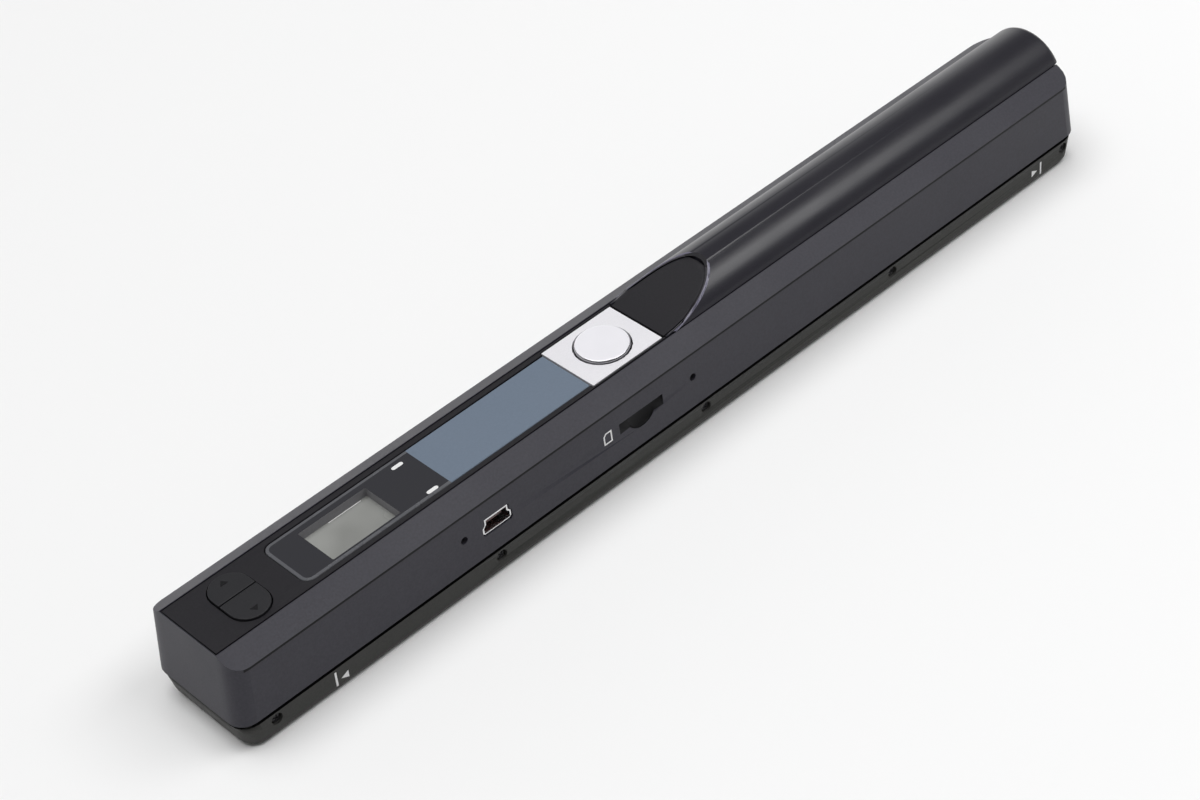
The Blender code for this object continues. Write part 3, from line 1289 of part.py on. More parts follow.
def make_encoder():
    """The pinion on the drive shaft, the wheel with its slotted disc, their pin and the light eye."""
    toward = math.pi - GEAR_LEAN
    pinion = prism(
        "roller_pinion",
        "X",
        [gear_outline((ROLLER_Y, ROLLER_Z), PINION_TEETH, toward)],
        GEAR_NEAR_X,
        GEAR_FAR_X,
    )
    ends = (GEAR_NEAR_X - OVERRUN, GEAR_FAR_X + OVERRUN)
    bore = rod("pinion_bore", "X", (ROLLER_Y, ROLLER_Z), *ends, JOURNAL_RADIUS + RUNNING)
    cut(pinion, bore)
    piece(pinion, "roller_pinion", "gear_white", (GEAR_NEAR_X, ROLLER_Y, ROLLER_Z))
    facing = toward + math.pi + TURN / WHEEL_TEETH / 2
    centre = (WHEEL_Y, WHEEL_Z)
    wheel = prism("encoder_wheel", "X", [gear_outline(centre, WHEEL_TEETH, facing)], GEAR_NEAR_X, GEAR_FAR_X)
    hub = rod("encoder_hub", "X", centre, GEAR_NEAR_X - GAP, DISC_FAR_X + GAP, HUB_RADIUS)
    disc = prism("encoder_disc", "X", [disc_outline(centre)], DISC_NEAR_X, DISC_FAR_X)
    join(wheel, hub, disc)
    through = rod(
        "wheel_bore", "X", centre, GEAR_NEAR_X - OVERRUN, DISC_FAR_X + OVERRUN, PIN_RADIUS + RUNNING
    )
    cut(wheel, through)
    piece(wheel, "encoder_wheel", "gear_white", (GEAR_NEAR_X, *centre))
    pin_ends = (PIN_POST_NEAR_X - PIN_POST_THICK, POST_NEAR_X + PIN_POST_THICK / 2)
    pin = rod("encoder_pin", "X", centre, *pin_ends, PIN_RADIUS)
    piece(pin, "encoder_pin", "bright_steel")
    low = WHEEL_Z + DISC_RADIUS - EYE_OVERLAP
    body_x = (DISC_NEAR_X - EYE_GAP - EYE_WALL, DISC_FAR_X + EYE_GAP + EYE_WALL)
    body_y = (WHEEL_Y - EYE_WIDTH / 2, WHEEL_Y + EYE_WIDTH / 2)
    eye = block("light_eye", body_x, body_y, (low, BOARD_UNDER - GAP))
    slot = block(
        "eye_slot",
        (DISC_NEAR_X - EYE_GAP, DISC_FAR_X + EYE_GAP),
        (body_y[0] - OVERRUN, body_y[1] + OVERRUN),
        (low - OVERRUN, WHEEL_Z + DISC_RADIUS + EYE_GAP),
    )
    cut(eye, slot)
    piece(eye, "light_eye", "switch_black")


def disc_outline(centre):
    """The encoder disc's outline, with open slots round its rim."""
    step = TURN / DISC_SLOTS
    inner = DISC_RADIUS - DISC_SLOT_DEPTH
    outline = []
    for n in range(DISC_SLOTS):
        corners = ((DISC_RADIUS, 0), (DISC_RADIUS, 1 / 4), (DISC_RADIUS, 1 / 2), (inner, 1 / 2), (inner, 1))
        for radius, turn_share in corners:
            outline.append(polar(centre, radius, step * (n + turn_share - DISC_START_SHARE)))
    return outline


def make_battery_tray():
    """The tray that holds two cells in line, hung under the deck by its flanges."""
    x = (BAY_NEAR_X - TRAY_WALL, BAY_FAR_X + TRAY_WALL)
    flange_half = upper_half_width(CEILING_Z) - WALL - GAP
    trough_half = BAY_HALF + TRAY_WALL
    flange_low = TRAY_TOP_Z - TRAY_FLANGE
    tray = block("battery_tray", x, (-flange_half, flange_half), (flange_low, TRAY_TOP_Z))
    trough = block(
        "tray_trough", x, (-trough_half, trough_half), (BAY_FLOOR_Z - TRAY_WALL, flange_low + TRAY_FLANGE / 2)
    )
    join(tray, trough)
    bay = block(
        "cell_bay", (BAY_NEAR_X, BAY_FAR_X), (-BAY_HALF, BAY_HALF), (BAY_FLOOR_Z, TRAY_TOP_Z + OVERRUN)
    )
    cut(tray, bay)
    piece(tray, "battery_tray", "frame_plastic")


def make_cells():
    """The two cells, the spring behind them and the contact plate in front."""
    body = CELL_LENGTH - CELL_NUB
    profile = [
        (0, CELL_LENGTH),
        (CELL_NUB_RADIUS, CELL_LENGTH),
        (CELL_NUB_RADIUS, body),
        (CELL_RADIUS - CELL_EDGE, body),
        (CELL_RADIUS, body - CELL_EDGE),
        (CELL_RADIUS, CELL_EDGE),
        (CELL_RADIUS - CELL_EDGE, 0),
        (0, 0),
    ]
    for n in range(CELL_COUNT):
        x = CELLS_NEAR_X + n * (CELL_LENGTH + GAP)
        cell = turned(f"battery_{n + 1}", profile, (x, 0, CELL_Z), ROUND_STEPS, "X")
        piece(cell, f"battery_{n + 1}", "cell_wrap")
    half = CONTACT_SIZE / 2
    near = BAY_NEAR_X + GAP
    back = block("spring_plate", (near, near + CONTACT_THICK), (-half, half), (CELL_Z - half, CELL_Z + half))
    piece(back, "spring_plate", "bright_steel")
    far = BAY_FAR_X - GAP
    front = block("contact_plate", (far - CONTACT_THICK, far), (-half, half), (CELL_Z - half, CELL_Z + half))
    piece(front, "contact_plate", "bright_steel")
    make_spring(near + CONTACT_THICK + GAP + SPRING_WIRE, CELLS_NEAR_X - GAP - SPRING_WIRE)


def make_spring(start, end):
    """The battery spring: a helix round the cell's axis."""
    curve = bpy.data.curves.new("battery_spring", "CURVE")
    curve.dimensions = "3D"
    curve.bevel_depth = SPRING_WIRE
    curve.bevel_resolution = 1
    curve.use_fill_caps = True
    spline = curve.splines.new("POLY")
    count = SPRING_TURNS * 10
    spline.points.add(count)
    for n in range(count + 1):
        angle = TURN * SPRING_TURNS * n / count
        x = start + (end - start) * n / count
        y, z = polar((0, CELL_Z), SPRING_RADIUS, angle)
        spline.points[n].co = (x, y, z, 1)
    guide = bpy.data.objects.new("battery_spring", curve)
    mesh = bpy.data.meshes.new_from_object(guide)
    bpy.data.objects.remove(guide)
    build = bmesh.new()
    build.from_mesh(mesh)
    bmesh.ops.remove_doubles(build, verts=build.verts, dist=WELD)
    bmesh.ops.recalc_face_normals(build, faces=build.faces)
    build.to_mesh(mesh)
    build.free()
    piece(place("battery_spring", mesh), "battery_spring", "bright_steel")


def ramp_level(run, lower=0.0):
    """Height of the thumb ramp at a distance from its start: its slope grows steadily."""
    return TOP_Z + RAMP_SLOPE * run + RAMP_CURVE * run * run - lower


def ramp_reach(level):
    """The place along the wand where the ramp comes up to a level."""
    rise = level - TOP_Z
    root = math.sqrt(RAMP_SLOPE ** 2 + 4 * RAMP_CURVE * rise)
    return RAMP_X + (root - RAMP_SLOPE) / (2 * RAMP_CURVE)


def ramp_line(lower):
    """The ramp's line in the wand's long section, lowered, and run straight on past the barrel's top."""
    runs = [RAMP_LENGTH * n / RAMP_STEPS for n in range(RAMP_STEPS + 1)]
    line = [(RAMP_X + run, ramp_level(run, lower)) for run in runs]
    steep = RAMP_SLOPE + 2 * RAMP_CURVE * RAMP_LENGTH
    end_x, end_z = line[-1]
    line.append((end_x + (OVERRUN + lower) / steep, end_z + OVERRUN + lower))
    return line


def above_ramp(lower=0.0):
    """A cutter that takes away what lies over the ramp."""
    line = ramp_line(lower)
    sky = BARREL_TOP_Z + BARREL_RISE
    outline = line + [(line[-1][0], sky), (RAMP_X - BARREL_RISE, sky), (RAMP_X - BARREL_RISE, line[0][1])]
    return prism("above_ramp", "Y", [outline], -WIDTH, WIDTH)


def below_ramp(lower):
    """A cutter that takes away what lies under the lowered ramp."""
    line = ramp_line(lower)
    outline = [(RAMP_X - BARREL_RISE, line[0][1]), *line, (line[-1][0], 0), (RAMP_X - BARREL_RISE, 0)]
    return prism("below_ramp", "Y", [outline], -WIDTH, WIDTH)


def arch(name, x, radius, half, low_z):
    """A bar with the barrel's round top and upright sides, between two places along the wand."""
    base_z = BARREL_CENTRE_Z + math.sqrt(radius ** 2 - half ** 2)
    start = math.atan2(base_z - BARREL_CENTRE_Z, half)
    top = arc((0, BARREL_CENTRE_Z), radius, start, math.pi - start, ARC_STEPS)
    return prism(name, "X", [top + [(-half, low_z), (half, low_z)]], *x)


def make_ramp():
    """The thumb ramp on the panel's end: a flange over the cover's edge and a body inside it."""
    nose_x = ramp_reach(BARREL_CENTRE_Z + RAMP_FLANGE_RADIUS)
    start = PLATE_FAR_X - PLATE_GROOVE
    flange = arch("ramp_flange", (start, nose_x), RAMP_FLANGE_RADIUS, RAMP_FLANGE_HALF, PANEL_UNDER_Z)
    cut(flange, below_ramp(RAMP_FLANGE))
    body = arch("thumb_ramp", (start, nose_x), RAMP_BODY_RADIUS, RAMP_BODY_HALF, PANEL_UNDER_Z)
    bay = block(
        "under_nose",
        (BAY_NEAR_X - TRAY_WALL - RAMP_BODY_GAP, nose_x + OVERRUN),
        (-WIDTH, WIDTH),
        (0, CELL_Z + CONTACT_SIZE / 2 + RAMP_NOSE_GAP),
    )
    cut(body, bay)
    join(body, flange)
    return cut(body, above_ramp())


def make_battery_cover():
    """The sliding cover: a round barrel with a thumb ramp, two rails below and a closed far end."""
    length = COVER_FAR_X - COVER_X
    edge = BARREL_RADIUS - COVER_END_ROUND
    corner = arc((edge, length - COVER_END_ROUND), COVER_END_ROUND, math.pi / 2, 0, CORNER_STEPS)
    profile = [(0, length), *corner, (BARREL_RADIUS, 0), (0, 0)]
    cover = turned("battery_cover", profile, (COVER_X, 0, BARREL_CENTRE_Z), BARREL_STEPS, "X")
    below = block(
        "below_barrel",
        (COVER_X - OVERRUN, COVER_FAR_X + OVERRUN),
        (-WIDTH, WIDTH),
        (BARREL_CENTRE_Z - WIDTH, COVER_BASE_Z),
    )
    skirt_far = upper_half_length(TOP_Z)
    skirt = block(
        "cover_skirt", (COVER_X, skirt_far), (-NECK_HALF, NECK_HALF), (RAIL_LOW_Z, COVER_BASE_Z + GAP / 2)
    )
    rails = block("cover_rails", (COVER_X, skirt_far), (-RAIL_HALF, RAIL_HALF), (RAIL_LOW_Z, RAIL_HIGH_Z))
    cut(cover, below)
    join(cover, skirt, rails)
    inside = (COVER_X - OVERRUN, COVER_FAR_X - COVER_END_CAP)
    low = RAIL_LOW_Z - OVERRUN
    cavity = arch("cover_cavity", inside, BARREL_RADIUS - COVER_WALL, SKIRT_INNER, low)
    nose_x = ramp_reach(BARREL_CENTRE_Z + RAMP_FLANGE_RADIUS)
    seat_x = (COVER_X - OVERRUN, nose_x + GAP * 2)
    seat = arch("flange_seat", seat_x, BARREL_RADIUS - RAMP_LIP, NECK_HALF - RAMP_SIDE_LIP, low)
    cut(seat, below_ramp(RAMP_FLANGE + GAP))
    cut(cover, cavity, seat, above_ramp())
    piece(cover, "battery_cover", "cover_satin")


def main():
    """Builds the wand from the shells inwards."""
    clear_scene()
    make_materials()
    make_upper_housing()
    make_lower_housing()
    make_side_screws()
    make_panel()
    make_lens()
    make_deco_plate()
    make_scan_button()
    make_keys()
    make_top_switches()
    make_display()
    make_main_board()
    make_usb_socket()
    make_card_socket()
    make_side_switches()
    make_sensor()
    make_rollers()
    make_encoder()
    make_battery_tray()
    make_cells()
    make_battery_cover()


main()
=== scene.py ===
"""A black handheld wand scanner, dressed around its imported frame, on a pale studio floor.

Lengths in the module values are millimetres; the meshes are in metres, in the frame's own axes:
+X runs along the wand towards the round battery cover, +Z is up and -Y is the side with the sockets.
"""

import json
import math

import bmesh
import bpy
import numpy as np
from mathutils import Matrix, Vector

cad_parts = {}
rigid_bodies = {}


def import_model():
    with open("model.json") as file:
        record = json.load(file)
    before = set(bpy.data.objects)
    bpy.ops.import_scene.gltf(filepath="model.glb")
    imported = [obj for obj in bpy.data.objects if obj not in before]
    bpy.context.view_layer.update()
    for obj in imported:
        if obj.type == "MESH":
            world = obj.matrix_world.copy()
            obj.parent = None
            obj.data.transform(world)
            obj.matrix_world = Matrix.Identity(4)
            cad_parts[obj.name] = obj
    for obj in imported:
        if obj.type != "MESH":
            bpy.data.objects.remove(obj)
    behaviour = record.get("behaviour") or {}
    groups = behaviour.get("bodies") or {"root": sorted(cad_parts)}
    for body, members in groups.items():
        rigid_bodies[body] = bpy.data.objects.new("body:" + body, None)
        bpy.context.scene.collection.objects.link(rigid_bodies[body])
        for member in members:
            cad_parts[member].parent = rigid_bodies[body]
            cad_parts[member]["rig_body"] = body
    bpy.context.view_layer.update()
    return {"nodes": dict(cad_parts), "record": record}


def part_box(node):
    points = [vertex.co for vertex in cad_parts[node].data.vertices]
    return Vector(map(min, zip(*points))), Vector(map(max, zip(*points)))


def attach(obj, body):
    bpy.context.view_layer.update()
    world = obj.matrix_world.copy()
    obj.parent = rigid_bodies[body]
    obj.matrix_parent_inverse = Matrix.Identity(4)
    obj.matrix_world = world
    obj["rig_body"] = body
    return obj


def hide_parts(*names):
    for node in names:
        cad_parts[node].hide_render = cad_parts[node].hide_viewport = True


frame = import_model()

bl_info = {
    "name": "Wand scanner",
    "version": (1, 0, 0),
    "blender": (4, 5, 0),
    "location": "3D View > Sidebar > Wand scanner",
    "description": "Dresses a handheld wand scanner with its finishes, marks and studio",
    "category": "Add Mesh",
}

MM = 0.001
TURN = 2 * math.pi
NODES = frame["nodes"]
NODE_SLOTS = {row["node"]: row["material_slot"] for row in frame["record"]["subparts"]}
MATERIALS = {}
SHARED_FINISHES = {"lens_clear": "lens", "print_black": "lens"}

# Camera, worked out from the photograph's straight edges
CAMERA_PLACE = (-303.88, -359.67, 408.2)
CAMERA_RIGHT = (0.71935299, -0.68730740, -0.10069663)
CAMERA_UP = (0.50857290, 0.42235770, 0.75031165)
CAMERA_FORWARD = (0.47316475, 0.59095051, -0.65337020)
CAMERA_LENS = 85.284
CAMERA_SENSOR = 36.0
CAMERA_CLIP_M = (0.01, 20)

# How far the roughness of moulded plastic drifts
MOULDED_SPREAD = 0.06

# Lamps: name, kind, direction they shine from, strength, and size in mm or angle
LAMP_DISTANCE = 1600
LAMPS = (
    ("Overhead lamp", "AREA", (0.42, -0.38, 0.83), 8.8, (1100, 700)),
    ("Floor light", "SUN", (-0.1, 0.1, 0.98), 2.1, math.radians(50)),
)

# Sky: its light falls from pale to dim between two heights, which lean towards the far side
SKY_HEIGHTS = (0.02, 0.46)
SKY_LIGHTS = (0.92, 0.12)
SKY_LEAN = -0.15
FLOOR_RINGS = (500.0, 4000.0)
FLOOR_STEPS = 64

# Shells: half widths at the seam, and how far they lean in for each mm of height
SEAM_Z = 7.3
UPPER_HALF = 14.4
UPPER_DRAFT = 0.02535
LOWER_HALF = 14.15
LOWER_DRAFT = 0.03623
GROOVE_FLOOR_Z = 6.3
GROOVE_SIDE_Y = 13.2
GROOVE_END_X = 124.6
CHAMFER_Y = 9.2
EDGE_LINE_Z = 20.95
EDGE_LINE_Y = 13.9
LOWER_RIM_X = 121.0
LOWER_RIM_Y = 13.2
SCREW_RECESS_Z = (3, 6)

# Card slot: its ends, the depth range and levels of its slit, and the levels of its finger scoop
CARD_X = (-24, -9.5)
CARD_SLIT_Y = (-12.6, -9)
CARD_SLIT_Z = (15, 17.2)
CARD_SCOOP_Z = (9, 17.6)
CARD_SUNK = 0.06

# Cover and thumb ramp
BARREL_Z = 19.56
COVER_RIM_RADIUS = 10.2
COVER_RIM_END_X = 20
COVER_RIM_Z = 24.6
COVER_EDGE = 0.3
CREST_X = (15.4, 18)

# Panel and keys: each arrow's tip and foot
PANEL_RIM_Z = 24
KEYS_X = -111.7
KEYS_REACH = 9
KEY_TOP_Z = 24.7
ARROW_HALF = 0.95
ARROW_LEVELS = (KEY_TOP_Z - 0.02, KEY_TOP_Z + 0.05)
ARROWS = (("far_key", 6.0, 4.7), ("near_key", -5.9, -4.6))

# Lens, window and light slots
LENS_NEAR_X = -100.6
LENS_FAR_X = -23.91
LENS_HALF = 7.3
LENS_CORNER = 2.2
LENS_SQUARE_CORNER = 0.05
LENS_SHOULDER = 0.12
LENS_LEVELS = (23.4, 24.2)
RIM_SHARE = 0.98
BAND_X = -62.6
WINDOW_X = (-92.8, -75.2)
WINDOW_Y = (-6.1, 5.1)
WINDOW_CENTRE = (sum(WINDOW_X) / 2, sum(WINDOW_Y) / 2)
WINDOW_SIZE = (WINDOW_X[1] - WINDOW_X[0], WINDOW_Y[1] - WINDOW_Y[0])
WINDOW_CORNER = 0.3
WINDOW_ZONE_X = (LENS_NEAR_X + 4, BAND_X)
WINDOW_ZONE_HALF = LENS_HALF - 0.8
LIGHT_X = -66.6
LIGHT_PLACES = (5.0, -6.0)
LIGHT_SIZE = (2.9, 0.95)
LIGHT_HEIGHT = 0.02

# Display: its face, the frame between it and the lens, and the thin white line on its far edge, a painted
# highlight
DISPLAY_TOP_Z = 22.0
DISPLAY_CORNER = 0.6
DISPLAY_EDGE = 0.1
FRAME_GROWTH = 0.7
FRAME_LEVELS = (22.03, 23.38)
LINE_CENTRE = (-81.2, WINDOW_Y[1] - 0.22)
LINE_SIZE = (8.6, 0.2)
LINE_CORNER = 0.08
LINE_HEIGHT = 0.04

# Plate and button: the face's crown, the round shoulder, then the side and foot as (radius, height)
PLATE_EDGE = 0.1
BUTTON_X = -13.3
BUTTON_HOLE_REACH = 7.4
BUTTON_STEPS = 96
BUTTON_TOP_Z = 24.9
BUTTON_CROWN = 0.06
FACE_RADIUS = 5.4
FACE_RINGS = 14
SHOULDER_RADIUS = 5.55
SHOULDER = 0.6
SHOULDER_RINGS = 9
BUTTON_FOOT = [(6.15, 22.0), (7.2, 22.0), (7.2, 21.4), (1.8, 21.4), (1.8, 20.9), (0, 20.9)]

# Printed marks on the near side, as (x, z)
MARK_SUNK = 0.01
BAR_CORNER = 0.1
BARS = (((-102.9, 3.55), (0.5, 3.9)), ((113.2, 3.4), (0.5, 3.5)))
BAR_ARROWS = (
    [(-101.7, 2.9), (-99.8, 1.95), (-99.8, 3.85)],
    [(111.9, 3.4), (110.0, 2.5), (110.0, 4.3)],
)
CARD_MARK = [(-27.7, 13.7), (-25.3, 13.7), (-25.3, 16.7), (-27.0, 16.7), (-27.7, 16.0)]
CARD_MARK_HOLE = [(-27.35, 14.05), (-25.65, 14.05), (-25.65, 16.35), (-26.85, 16.35), (-27.35, 15.85)]

# Screws: the head's dome and cross, then the side, underside and shank as (radius, place)
SCREW_Z = 4.5
SCREW_TOP = 13.6
SCREWS_A_SIDE = 5
SCREW_TURN = 0.3
SCREW_STEPS = 48
DOME_RINGS = 16
DOME_RADIUS = 1.08
DOME_FALL = 0.18
SCREW_FOOT = [(1.1, 13.36), (1.1, 13.05), (0.6, 13.05), (0.6, 10.65), (0, 10.35)]
CROSS_DEPTH = 0.3
CROSS_REACH = 0.72
CROSS_BLEND = 0.06
CROSS_END_BLEND = 0.1

# Sockets, tray and cells: (radius, distance) from each cell's flat end and from its raised end
TONGUE_EDGE = 0.12
TRAY_EDGE = 0.3
CELL_Z = 20.6
CELL_STEPS = 72
CELL_FOOT = (
    (0, 0.25), (3.6, 0.25), (4.2, 0.05), (5.2, 0.05), (5.5, 0.2), (6.4, 0.1), (7.0, 0.2), (7.25, 0.6),
)
CELL_HEAD = (
    (7.25, 13.0), (7.25, 12.9), (7.25, 1.7), (6.9, 1.2), (5.6, 1.05), (4.0, 1.15), (2.8, 1.1), (2.65, 0.2),
    (2.3, 0), (0, 0),
)
CELL_BAND = (12.95, 1.15)
CELL_STEEL_RADIUS = 5.6

# Spring
WIRE_RADIUS = 0.3
WIRE_SIDES = 10
SPRING_TURNS = 4
SPRING_TURN_STEPS = 24
SPRING_RADII = (3.2, 2.3)
SPRING_END_SHARE = 0.12
SPRING_SMOOTH = 60

# Rollers: shallow grooves where the cosine of their wave is above a limit
ROLLER_BORE = 1.2
ROLLER_CHAMFER = 0.3
ROLLER_RINGS = 136
ROLLER_STEPS = 48
ROLLER_GROOVES = 8
GROOVE_DEPTH = 0.08
GROOVE_WAVE_LIMIT = 0.9

# Cuts through the openings of the shells and the panel, as (axis, place)
CUTS = ((0, -66.6), (1, -8.75), (1, 0.0), (1, 8.75), (2, 4.5), (2, 15.2), (2, EDGE_LINE_Z))

# Parts of a face's normal: sideways or backward, and upward
CHAMFER_NORMAL = (0.4, 0.6)
SIDE_NORMAL = 0.9
CREST_NORMAL = (-0.2, 0.5)
OPENING_NORMAL = 0.3
WINDOW_NORMAL = 0.5
BUTTON_EDGE_NORMAL = 0.85

# Meshes: distances in metres below which points count as one, and angles in degrees
SAME_POINT_M = 1e-7
SAME_CAD_POINT_M = 2e-6
NO_LENGTH_M = 1e-6
FLAT_ANGLE = 0.6
SHARP_ANGLE = 28
SMOOTH_ANGLE = 30
CAD_SMOOTH_ANGLE = 35


def paint(red, green, blue):
    """A colour as Blender keeps it, from display values between 0 and 255."""
    return tuple(channel_value(v) for v in (red, green, blue))


def channel_value(value):
    """One display value made linear by the usual display curve."""
    v = value / 255
    return v / 12.92 if v <= 0.04045 else ((v + 0.055) / 1.055) ** 2.4


def scaled(color, share):
    """A colour made lighter or darker, at most white."""
    return tuple(min(1, c * share) for c in color)


def between(value, span):
    """Whether a value, or each value of an array, lies inside a span."""
    return (value > span[0]) & (value < span[1])


def in_mm(box):
    """The two corners of a box as arrays in millimetres."""
    return [np.array(corner) / MM for corner in box]


# Meshes


def linked(name, data):
    """A new object with its data, linked to the scene."""
    item = bpy.data.objects.new(name, data)
    bpy.context.scene.collection.objects.link(item)
    return item


def mesh_object(name, points, faces):
    """An object from points in millimetres and faces; its faces are turned outwards."""
    mesh = bpy.data.meshes.new(name)
    mesh.from_pydata((np.asarray(points, float) * MM).tolist(), [], faces)
    work = bmesh.new()
    work.from_mesh(mesh)
    bmesh.ops.remove_doubles(work, verts=work.verts, dist=SAME_POINT_M)
    bmesh.ops.recalc_face_normals(work, faces=work.faces)
    work.to_mesh(mesh)
    work.free()
    return linked(name, mesh)


def grid_faces(rows, columns, looped=False):
    """Quads between the rows of a grid of points. The last column meets the first, and so does the last
    row where the grid is looped."""
    row = np.arange(rows if looped else rows - 1)[:, None] * columns
    following = (row + columns) % (rows * columns)
    column = np.arange(columns)[None, :]
    after = (column + 1) % columns
    quads = np.stack([row + column, row + after, following + after, following + column], -1)
    return quads.reshape(-1, 4).tolist()


def capped_faces(rows, columns):
    """The quads of a grid, with its first and last rows filled in."""
    ends = [list(range(first, first + columns)) for first in (0, (rows - 1) * columns)]
    return grid_faces(rows, columns) + ends


def stacked(x, y, z):
    """The points of three grids of coordinates."""
    return np.stack([x, y, z], -1).reshape(-1, 3)


def even_angles(steps):
    return np.linspace(0, TURN, steps, endpoint=False)


def turned(profile, steps):
    """A profile of (radius, place) turned in equal steps of angle: grids of the places, and of the radius
    times the cosine and the sine. A point with radius zero closes the piece."""
    profile = np.asarray(profile, float)
    angle = even_angles(steps)
    radius = profile[:, :1]
    place = np.broadcast_to(profile[:, 1:], (len(profile), steps))
    return place, radius * np.cos(angle), radius * np.sin(angle)


def slab(outline, place, low, high):
    """A thin sheet: an outline is put in space by place(outline, height) at two heights, and a ring of
    faces joins the two."""
    outline = np.array(outline)
    return np.concatenate([place(outline, low), place(outline, high)]), capped_faces(2, len(outline))


def ring(outer, inner, place, low, high):
    """A flat band between two outlines with the same count of points, at two heights."""
    outer, inner = np.array(outer), np.array(inner)
    loops = [place(outer, low), place(outer, high), place(inner, high), place(inner, low)]
    return np.concatenate(loops), grid_faces(4, len(outer), looped=True)


def merged(parts):
    """Several (points, faces) pairs as one."""
    points, faces, start = [], [], 0
    for part_points, part_faces in parts:
        points.append(part_points)
        faces += [[i + start for i in face] for face in part_faces]
        start += len(part_points)
    return np.concatenate(points), faces


def cornered(centre, size, corners, steps=6):
    """A rectangle with its own radius at each corner: four quarter circles, counter-clockwise from the
    corner at +x +y."""
    angle = np.linspace(0, TURN / 4, steps)
    outline = []
    for turn, (sx, sy) in enumerate(((1, 1), (-1, 1), (-1, -1), (1, -1))):
        corner = corners[turn]
        cx = centre[0] + sx * (size[0] / 2 - corner)
        cy = centre[1] + sy * (size[1] / 2 - corner)
        a = angle + turn * TURN / 4
        outline.append(np.stack([cx + corner * np.cos(a), cy + corner * np.sin(a)], -1))
    return np.concatenate(outline)


def stadium(centre, length, width):
    """An outline with ends a hair short of half round, so that its sides keep some length."""
    return cornered(centre, (length, width), (width / 2 * 0.999,) * 4)


def smoothed(item, angle):
    """Smooth shading, with edges sharp above an angle in degrees."""
    item.data.shade_smooth()
    item.data.set_sharp_from_angle(angle=math.radians(angle))


def dressed(item, material):
    """Gives a piece one material."""
    item.data.materials.clear()
    item.data.materials.append(material)


def finished(item, node, body, slot, material=None, smooth=SMOOTH_ANGLE):
    """Gives a new piece its material, at first the slot's own, and its body, and lets it stand for
    its node or nodes, if any."""
    dressed(item, MATERIALS[material or slot])
    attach(item, body)
    if node:
        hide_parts(*([node] if isinstance(node, str) else node))
    smoothed(item, smooth)


def softened(node, name, material, bevel, segments=3, paints=(), where=None):
    """A copy of a CAD node with its edges rounded by a Bevel. Faces that a paint's test picks get its
    material first, then triangles that lie in one plane and share a material are merged into one face.
    Cuts along the planes of CUTS stay, so that no merged face closes round an opening. Where a test for
    edges is given, only the sharp edges whose middles it picks are rounded."""
    source = NODES[node]
    item = linked(name, source.data.copy())
    dressed(item, MATERIALS[material])
    for second, chosen in paints:
        paint_faces(item, second, chosen)
    work = bmesh.new()
    work.from_mesh(item.data)
    bmesh.ops.remove_doubles(work, verts=work.verts, dist=SAME_CAD_POINT_M)
    for axis, place in CUTS:
        normal = [float(n == axis) for n in range(3)]
        everything = work.verts[:] + work.edges[:] + work.faces[:]
        point = [place * MM * n for n in normal]
        plane = {"plane_co": point, "plane_no": normal}
        cut = bmesh.ops.bisect_plane(work, geom=everything, dist=SAME_POINT_M, **plane)
        for edge in cut["geom_cut"]:
            if isinstance(edge, bmesh.types.BMEdge):
                edge.seam = True
    bmesh.ops.dissolve_limit(
        work,
        angle_limit=math.radians(FLAT_ANGLE),
        use_dissolve_boundaries=False,
        verts=work.verts,
        edges=work.edges,
        delimit={"MATERIAL", "SEAM"},
    )
    bmesh.ops.dissolve_degenerate(work, dist=NO_LENGTH_M, edges=work.edges)
    if where:
        weights = work.edges.layers.float.new("bevel_weight_edge")
        for edge in work.edges:
            middle = (edge.verts[0].co + edge.verts[1].co) / 2 / MM
            joined = len(edge.link_faces) == 2
            sharp = joined and edge.calc_face_angle() > math.radians(SHARP_ANGLE)
            edge[weights] = float(sharp and where(*middle))
    work.to_mesh(item.data)
    work.free()
    body = source["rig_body"]
    if bevel:
        edge = item.modifiers.new("Soft edges", "BEVEL")
        edge.width = bevel * MM
        edge.segments = segments
        edge.limit_method = "WEIGHT" if where else "ANGLE"
        edge.angle_limit = math.radians(SHARP_ANGLE)
        edge.use_clamp_overlap = not where
        edge.harden_normals = True
    smoothed(item, SHARP_ANGLE)
    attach(item, body)
    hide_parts(node)
    return item


def set_faces(item, name, kind, value, chosen):
    """Sets one property of the faces that a test picks by their centres, in millimetres, and their normals,
    each as three rows."""
    faces = item.data.polygons
    rows = []
    for source in ("center", "normal"):
        values = np.empty(len(faces) * 3)
        faces.foreach_get(source, values)
        rows.append(values.reshape(-1, 3).T)
    values = np.empty(len(faces), kind)
    faces.foreach_get(name, values)
    values[chosen(rows[0] / MM, rows[1])] = value
    faces.foreach_set(name, values)
    item.data.update()


def paint_faces(item, material, chosen):
    """Gives one more material to the faces that a test picks."""
    item.data.materials.append(MATERIALS[material])
    set_faces(item, "material_index", np.int32, len(item.data.materials) - 1, chosen)


# Materials


